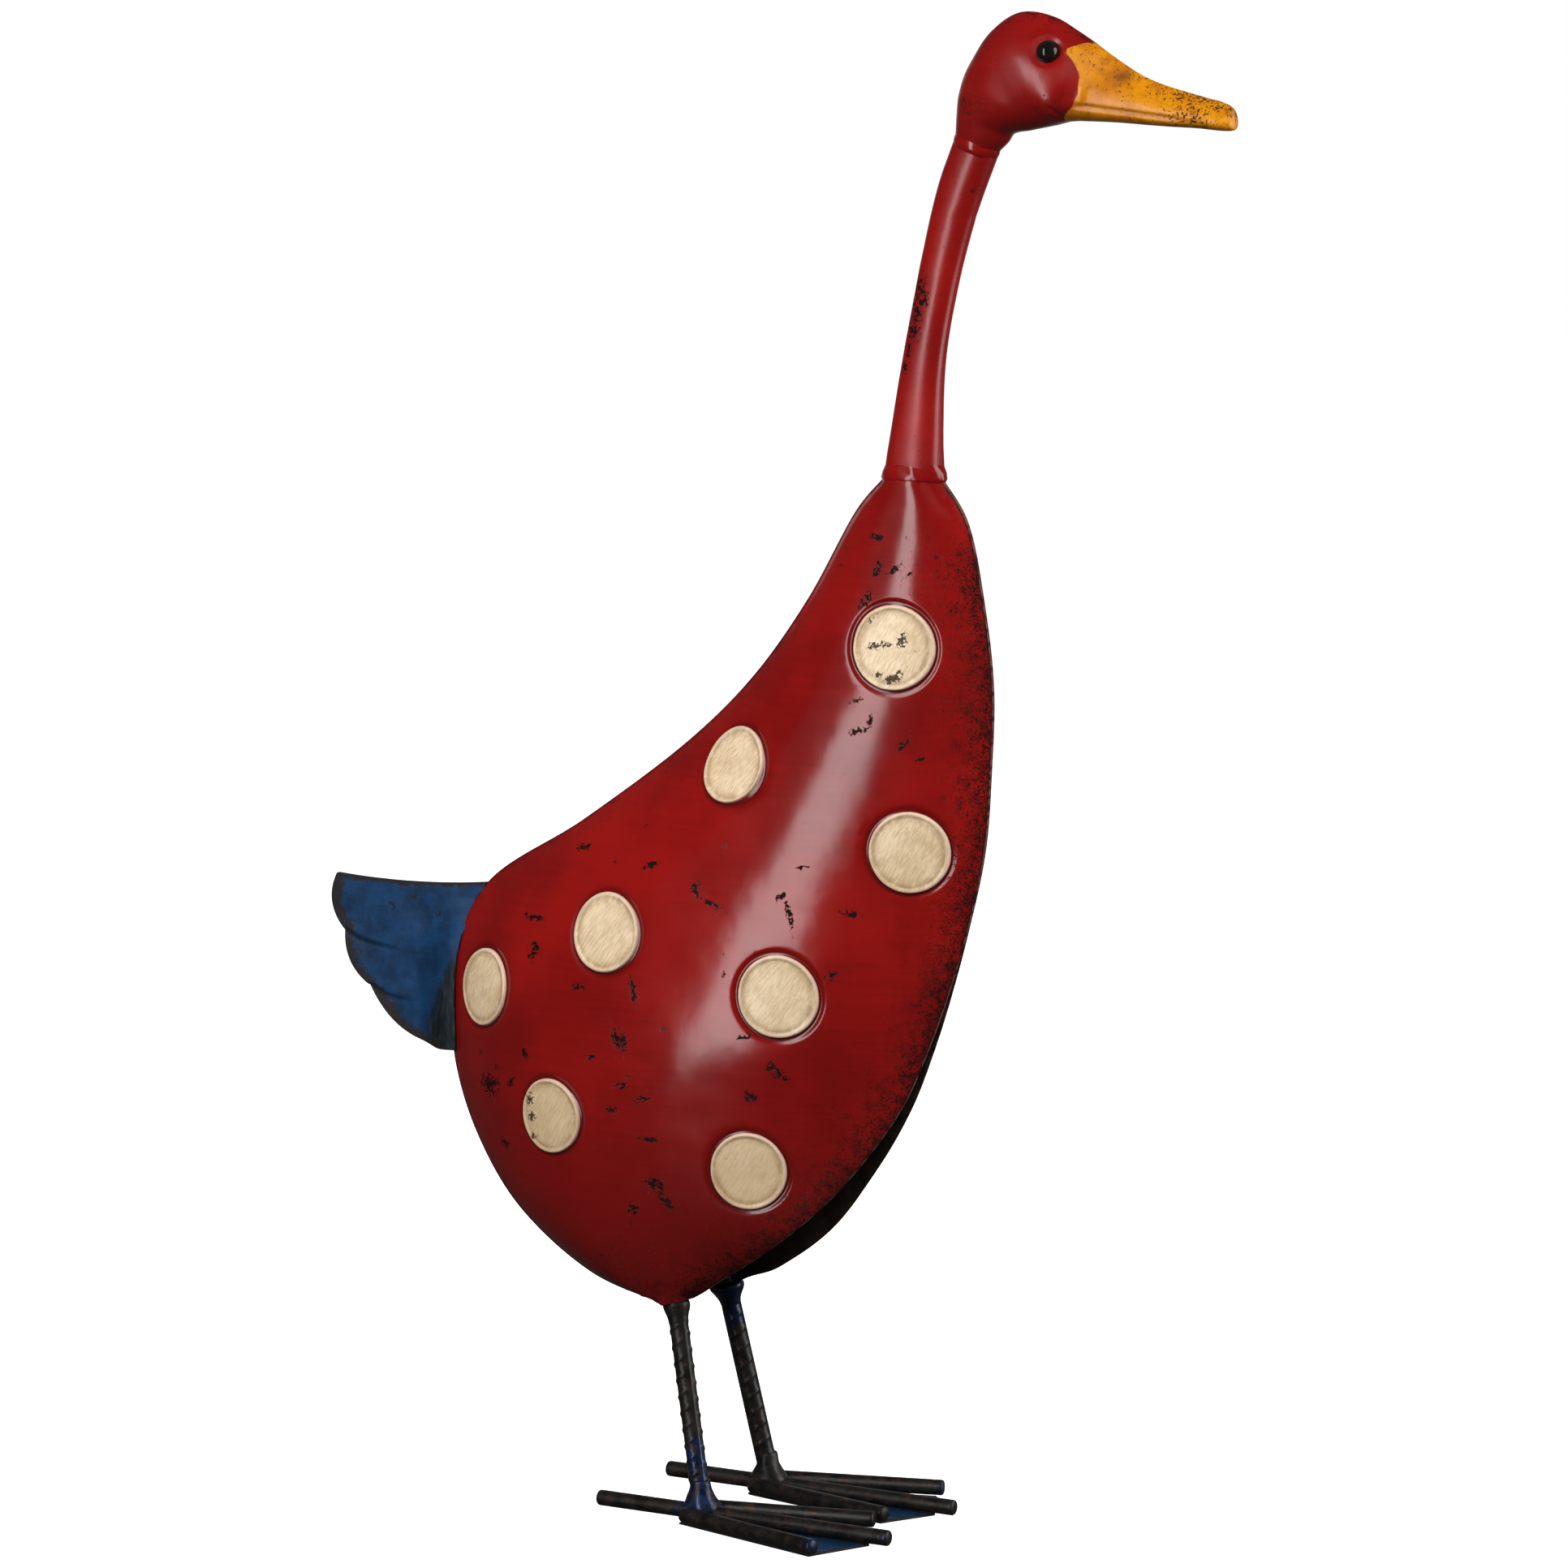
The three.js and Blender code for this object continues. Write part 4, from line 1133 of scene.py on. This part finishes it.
def neck_base_weld():
    """The brazed joint where the neck runs out into the body's top."""
    turn = np.linspace(0, 1, 40)
    top = half_ovals(neck_sections(np.full(40, BASE_TOP)), turn, 0, square=neck_square(BASE_TOP))
    low = body_point((1 - np.cos(math.pi * turn)) / 2, np.full(40, BASE_FOOT))
    rows = []
    for share in np.linspace(0, 1, 18):
        row = top + (low - top) * share
        middle = row.mean(0) * (1, 0, 1)
        swell = 0.985 + 0.045 * smoothstep(share, 0, 0.5) - 0.075 * smoothstep(share, 0.75, 1)
        rows.append(middle + (row - middle) * (swell, swell, 1))
    return collar(rows, 21, 0.022)


def neck_top_weld():
    """The joint inside the head's lower edge."""
    low, high = corners("neck_top_weld")
    centre, half = (low + high) / 2, (high - low) / 2
    way = np.array([math.cos(HEAD_SLOPE), math.sin(HEAD_SLOPE)])
    rows = []
    for lift, swell in ((-2.6, 0.955), (-2, 1.0), (-1, 1.03), (0.5, 1.05), (3, 1.03)):
        over = half[0] * swell * way
        x, z = centre[0] + lift * way[1], centre[2] - 1 + lift * way[0]
        section = np.array([x - over[0], z + over[1], x + over[0], z - over[1], half[1] * swell])
        rows.append(half_ovals(np.tile(section, (36, 1)), np.linspace(0, 1, 36), 0))
    return collar(rows, 31, 0.02)


head = head_shell()
new_pair("neck_shell", neck_shell(), (RED, INSIDE))
new_pair("head_shell", head, (RED, INSIDE))
new_pair("bill", bill_shell(), (YELLOW, INSIDE))
new_pair("eye", eye_bead(), (GLASS,))
new_pair("eye_rim", eye_rim(head["points"]), (IRON,), stands_for=False)
new_piece("neck_base_weld", neck_base_weld(), (RED,))
new_piece("neck_top_weld", neck_top_weld(), (RED,))

# ---- Tail ----

# The tail's root line and upper corner, and its three feathers: forward of the box's front and up from its
# low corner, and for a feather, how far its edge bulges.
TAIL_ROOT = [(3, 86.8), (-3, 75.2), (-8.5, 61.2), (-11.2, 47.2), (-12, 29.2), (-10.5, 0.2)]
TAIL_CORNER = (-88, 85.2)
TAIL_FEATHERS = [(-83.5, 56.2, 5.5), (-68.5, 28.2, 5), (-19, 0, 8.5)]
TAIL_DIP, TAIL_DIP_REACH = 2.2, 1 / 3  # how far the top edge sags, and the share of the height that does
TAIL_LAP, TAIL_BEND = 4, 26  # widths at the root that lie on the body, and that then bend in to the seam
TAIL_TUCK = 3  # how far the root's upper part lies behind the body's edge
FLANGE_TOP, FLANGE_WIDTH = 60, 22  # the turned edge along the lower root, widest at the foot
TAIL_CREASES = [
    [(-82.5, 56), (-74.2, 51.8), (-46.7, 47.5)],
    [(-67.8, 28.6), (-57.3, 24), (-40.3, 22.1)],
]

tail_low, tail_high = corners("tail_right")
tail_foot = np.array([tail_high[0], tail_low[2]])


def tail_edge(t):
    """A point of the tail's scalloped edge, by the share of the way down."""
    place = min(t * len(TAIL_FEATHERS), len(TAIL_FEATHERS) - 1e-9)
    feather = int(place)
    s = place - feather
    *end, bulge = TAIL_FEATHERS[feather]
    start = np.array(TAIL_CORNER if feather == 0 else TAIL_FEATHERS[feather - 1][:2], float)
    step = np.array(end) - start
    swell = 4 * s * (1 - s) * bulge / np.linalg.norm(step)
    return start + step * s + swell * np.array([step[1], -step[0]]) + tail_foot


def tail_creases(plan):
    """The relief of the creases between the feathers, and the painted shade along them."""
    relief, groove = np.zeros(plan.shape[:-1]), np.zeros(plan.shape[:-1])
    for crease in TAIL_CREASES:
        line = fine_line(crease)
        from_line = distance_to(plan, line)
        above = plan[..., 1] - np.interp(plan[..., 0], line[:, 0], line[:, 1])
        fade = smoothstep(plan[..., 0], line[-1, 0] + 4, line[0, 0] + 12)
        step = 0.5 * np.exp(-from_line / 8) * np.sign(above) * smoothstep(from_line, 0, 1.4)
        relief += (step - 0.4 * bump(from_line, 0, 1)) * fade
        groove = np.maximum(groove, bump(from_line, 0, 1.3) * (0.25 + 0.75 * fade))
    return relief, groove


def tail_half():
    down, out = share_grid(121, 70)
    root = on_line(smooth_line(np.array(TAIL_ROOT) + tail_foot), down[:, 0])
    edge = np.array([tail_edge(t) for t in down[:, 0]])
    reach = length_of(edge - root)[:, None]
    from_root, from_edge = out * reach, (1 - out) * reach
    flat = root[:, None] + (edge - root)[:, None] * out[..., None]
    dip = 4 * TAIL_DIP * (out * (1 - out)) * np.maximum(0, 1 - down / TAIL_DIP_REACH)
    standoff = -on_body(root)[:, 1] + SEAM - TAIL_TUCK * smoothstep(root[:, 1] - tail_foot[1], 56, 70)
    closing = smoothstep(from_root, TAIL_LAP, TAIL_LAP + TAIL_BEND)
    off = np.maximum(standoff, SEAM / 2)[:, None] * (1 - closing) + SEAM / 2 * closing
    plan = flat - tail_foot
    height = plan[..., 1]
    relief, groove = tail_creases(plan)
    relief += 0.35 * lumps(np.dstack([plan, 0 * down]), 22, 3)
    flange_width = FLANGE_WIDTH * smoothstep(height, FLANGE_TOP, 0)
    flange = smoothstep(from_root, flange_width + 8, flange_width - 6)
    flange = flange * smoothstep(height, FLANGE_TOP, FLANGE_TOP - 20)
    relief += 0.8 * flange * bump(from_root, flange_width / 2, 6)
    outer = np.stack([flat[..., 0], -(off + SHEET + relief), flat[..., 1] - dip], -1)
    inner = np.stack([flat[..., 0], -off, flat[..., 1] - dip], -1)
    shape = sheet_between(outer, inner)
    shape["values"] = {
        "rim": np.maximum(1 - from_edge / 13, 1 - down * np.linalg.norm(root[-1] - root[0]) / 5),
        "wear": 0.4 + 0.5 * np.exp(-from_edge / 9),
        # where painted shade darkens the creases
        "shade": flange,
        "groove": groove,
    }
    return shape


new_pair("tail", tail_half(), (BLUE, INSIDE))

# ---- Legs and feet ----

BAR_RADIUS, BAR_RIB, RIB_PITCH = 4.75, 0.5, 8.2
RIB_TURN, RIB_SLANT = 0.5, 2.6  # how far the ribs are turned round the bar, in radians, and lean along it
LEG_END = np.array([4.44, 4.49, 0.98])  # how far the leg's end centres lie inside the corners of its box
TOE_RADIUS = 4
TOE_END = [(0, 0.72), (0.15, 0.8), (0.5, 0.93), (1.1, 0.995), (2, 1)]  # how far in, and share of the radius
# How far the centre of each splayed toe's end lies inside the corner of its box, along X and along Y.
TOE_SPLAY = {"toe_outer": (1.06, 3.86), "toe_inner": (0.87, 3.9)}
# Sections of the two welds on a leg: height from the weld's middle, and share of the flare or radius.
HIP_PROFILE = [
    (-4.5, -0.1), (-3.5, 0.02), (-1.5, 0.14), (0.5, 0.34), (2.5, 0.64), (4.5, 0.94), (6, 1), (7, 0.85),
    (7.6, 0.4),
]
ANKLE_PROFILE = [
    (-9.5, 7), (-8, 8.6), (-6, 9), (-4, 8.4), (-2, 7.4), (0, 6.5), (2, 5.9), (4, 5.5), (6, 5.2),
    (7.5, 4.9), (8, 4.2),
]
TOE_BLUES = {"toe_middle": 0.36, "toe_outer": 0.5, "toe_inner": 0.3}  # how much paint each has at its front
TOE_SEED = 50
# Corners of the sheet under the toes, from the low corner of its box.
WEB_OUTLINE = [(0, 22.6), (87, -1), (103, 31.7), (87, 59.5), (0, 40.8)]

leg_low, leg_high = corners("leg_right")
leg_foot = np.array([leg_high[0], leg_low[1], leg_low[2]]) + LEG_END * (-1, 1, 1)
leg_top = np.array([leg_low[0], leg_high[1], leg_high[2]]) + LEG_END * (1, -1, -1)
leg_way = unit(leg_top - leg_foot)


def leg_bar(top_blue, foot_blue):
    """A reinforcing bar with slanted crescent ribs on two sides and a ridge along the other two."""
    sides = 44
    angle = np.linspace(0, 2 * math.pi, sides, endpoint=False) - RIB_TURN
    ridge = 0.85 * bump(np.abs(np.sin(angle)), 0, 0.22)
    crescent = np.sqrt(np.abs(np.sin(angle)))
    slant = RIB_SLANT * np.cos(angle) + np.where(np.sin(angle) > 0, RIB_PITCH / 2, 0)
    rings = []
    for run in np.linspace(0, np.linalg.norm(leg_top - leg_foot), 190):
        rib = crescent * bump(((run + slant) / RIB_PITCH) % 1, 0.5, 0.13)
        radius = BAR_RADIUS + BAR_RIB * np.maximum(ridge, rib)
        rings.append(ring(leg_foot + run * leg_way, leg_way, radius, sides))
    shape = capped_rings(rings)
    run = (shape["points"] - leg_foot) @ leg_way
    shape["values"] = {
        "blue": np.maximum(foot_blue * smoothstep(run, 54, 20), top_blue * smoothstep(run, 66, 84)),
        "shade": 0.9 * smoothstep(run, 70, 92),
    }
    return shape


def toe_bar(rear, front, seed, blue, weld_blue):
    """A round bar with roughly cut ends. The blues say how painted it is at its front and by the leg."""
    way, length = unit(front - rear), np.linalg.norm(front - rear)
    middle = [(run, 1) for run in np.arange(4, length - 3, 2.2)]
    far_end = [(length - run, share) for run, share in reversed(TOE_END)]
    rings = []
    for run, share in (*TOE_END, *middle, *far_end):
        loop = ring(rear + run * way, way, TOE_RADIUS * share, 36)
        rings.append(swollen(loop, 1 - 0.02 * np.abs(lumps(loop, 5, seed))))
    shape = capped_rings(rings)
    run = (shape["points"] - rear) @ way
    from_weld = length_of((shape["points"] - middle_of("ankle_weld_right"))[:, :2])
    at_front, at_weld = smoothstep(run, length - 12, length - 2), smoothstep(from_weld, 34, 10)
    shape["values"] = {"blue": np.maximum(blue * at_front, weld_blue * at_weld)}
    return shape


def toe_ends(name):
    low, high = corners(f"{name}_right")
    height = (low[2] + high[2]) / 2
    if name == "toe_middle":
        level = (low[1] + high[1]) / 2
        return np.array([low[0], level, height]), np.array([high[0], level, height])
    over, side = TOE_SPLAY[name]
    ys = (high[1] - side, low[1] + side) if name == "toe_outer" else (low[1] + side, high[1] - side)
    return np.array([low[0] + over, ys[0], height]), np.array([high[0] - over, ys[1], height])


def foot_web():
    low, high = corners("foot_web_right")
    outline = np.array(WEB_OUTLINE + WEB_OUTLINE[:1]) + low[:2]
    outline = evenly(outline, 1.6)[:-1]
    level = (low[2] + high[2]) / 2

    def place(flat):
        return np.column_stack([flat, np.full(len(flat), level)])

    shape = sheet_over(outline, 2.6, BACK_STEP, place, (0, 0, 1))
    from_edge = distance_to(shape["points"][:, :2], outline)
    shape["values"] = {"rim": near(from_edge, 3), "wear": 0.3, "shade": 0.45}
    return shape


def hip_weld(flare, blue):
    """The weld round the bar where it enters the body's lower tip. It widens upwards by the flare."""
    start = leg_foot + ((middle_of("hip_weld_right") - leg_foot) @ leg_way) * leg_way
    rings = []
    for lift, share in HIP_PROFILE:
        loop = ring(start + lift * leg_way, leg_way, BAR_RADIUS + 0.3 + flare * share, 40)
        rings.append(swollen(loop, 1 + 0.07 * lumps(loop, 5, 9)))
    shape = capped_rings(rings)
    shape["values"] = {"blue": blue, "shade": 0.7}
    return shape


def ankle_weld(blue):
    """The lump of weld that ties the leg to its three toes, running out a little along them."""
    rings = []
    for lift, radius in ANKLE_PROFILE:
        level = middle_of("ankle_weld_right") + (0, 0, lift)
        loop = ring(level, (0, 0, 1), radius, 56)
        forward = np.maximum(0, (loop - level)[:, 0] / radius) * smoothstep(lift, 3, -6)
        rings.append(level + (loop - level) * (1 + 0.12 * lumps(loop, 6, 17) + 0.25 * forward)[:, None])
    shape = capped_rings(rings)
    shape["values"] = {"blue": blue + 0.3 * lumps(shape["points"], 6, 41)}
    return shape


for side, top_blue, foot_blue, flare in (("right", 0.25, 0.56, 1.8), ("left", 0.75, 0.25, 4)):
    shapes = {
        "leg": leg_bar(top_blue, foot_blue),
        "hip_weld": hip_weld(flare, top_blue),
        "ankle_weld": ankle_weld(foot_blue),
    }
    for number, (toe, blue) in enumerate(TOE_BLUES.items()):
        shapes[toe] = toe_bar(*toe_ends(toe), TOE_SEED + number, blue, foot_blue - 0.12)
    for name, shape in shapes.items():
        new_piece(f"{name}_{side}", shape, (IRON,), side)
new_pair("foot_web", foot_web(), (BLUE,))

# ---- Stage ----

CAMERA_TURN, CAMERA_PITCH = math.radians(29.4), math.radians(7.6)
CAMERA_DISTANCE = 3.0
CAMERA_AIM = Vector((0.0126, 0, 0.369))
LIGHT_AIM = Vector((0, 0, 0.4))
FRAME_WIDTH = 0.7728  # what the frame takes in at the aim point
SENSOR = 36.0


def seen_from(turn, pitch):
    """The unit vector from the goose towards a viewer."""
    return Vector((math.sin(turn) * math.cos(pitch), -math.cos(turn) * math.cos(pitch), math.sin(pitch)))


def add_camera():
    camera = bpy.data.objects.new("camera", bpy.data.cameras.new("camera"))
    camera.data.sensor_width = SENSOR
    camera.data.lens = SENSOR * CAMERA_DISTANCE / FRAME_WIDTH
    back = seen_from(CAMERA_TURN, CAMERA_PITCH)
    camera.location = CAMERA_AIM + back * CAMERA_DISTANCE
    camera.rotation_euler = (-back).to_track_quat("-Z", "Y").to_euler()
    bpy.context.scene.collection.objects.link(camera)
    bpy.context.scene.camera = camera


def add_softbox(name, turn, height, distance, width, tall, brightness, mirrored):
    """A softbox that faces the goose, turn degrees to the right of the camera.

    A mirrored one only shows as a reflection in the paint, and any other one only lights it.
    """
    light = bpy.data.lights.new(name, "AREA")
    light.shape, light.size, light.size_y = "RECTANGLE", width, tall
    light.energy = brightness * math.pi * width * tall
    box = bpy.data.objects.new(name, light)
    away = seen_from(CAMERA_TURN + math.radians(turn), 0)
    box.location = away * distance + Vector((0, 0, height))
    aim = LIGHT_AIM - box.location
    box.rotation_euler = aim.to_track_quat("-Z", "Y").to_euler()
    box.visible_glossy, box.visible_diffuse = mirrored, not mirrored
    box.visible_camera = False
    bpy.context.scene.collection.objects.link(box)


def add_floor():
    mesh = bpy.data.meshes.new("floor")
    mesh.from_pydata([(-9, -9, 0), (9, -9, 0), (9, 9, 0), (-9, 9, 0)], [], [(0, 1, 2, 3)])
    floor = bpy.data.objects.new("floor", mesh)
    bpy.context.scene.collection.objects.link(floor)
    look = Look("floor")
    look.paint(look.noise(400, 2.0), srgb(238, 238, 238), srgb(246, 246, 246))
    mesh.materials.append(look.finish(look.noise(300, 1.0) + 0.3))
    look.shader.inputs["Emission Color"].default_value = srgb(255, 255, 255)
    look.shader.inputs["Emission Strength"].default_value = 1.0
    floor.visible_glossy = False
    floor.visible_diffuse = False


def add_world():
    """A white room to look at, which lights and mirrors in the goose only dimly."""
    world = bpy.data.worlds.new("studio")
    world.use_nodes = True
    nodes, links = world.node_tree.nodes, world.node_tree.links
    nodes["Background"].inputs["Color"].default_value = srgb(255, 255, 255)
    seen = nodes.new("ShaderNodeLightPath").outputs["Is Camera Ray"]
    strength = nodes.new("ShaderNodeMapRange")
    strength.inputs["To Min"].default_value = 0.05
    strength.inputs["To Max"].default_value = 1.0
    links.new(seen, strength.inputs["Value"])
    links.new(strength.outputs[0], nodes["Background"].inputs["Strength"])
    bpy.context.scene.world = world


add_camera()
add_softbox("left_shine", -37.5, 0.76, 1.6, 0.4, 1.8, 6.2, mirrored=True)
add_softbox("right_shine", 84, 0.75, 1.7, 1.1, 1.7, 3.6, mirrored=True)
add_softbox("back_shine", 180, 0.4, 3.0, 4.0, 2.4, 0.3, mirrored=True)
add_softbox("left_light", -48, 1.15, 1.6, 0.8, 1.4, 6.0, mirrored=False)
add_softbox("right_light", 84, 0.75, 1.7, 1.1, 1.7, 4.4, mirrored=False)
add_softbox("high_light", 12, 2.2, 2.2, 1.6, 1.6, 6.5, mirrored=False)
add_softbox("back_light", 170, 2.4, 2.0, 1.6, 1.2, 4.0, mirrored=False)
add_floor()
add_world()
bpy.context.scene.view_settings.view_transform = "Standard"
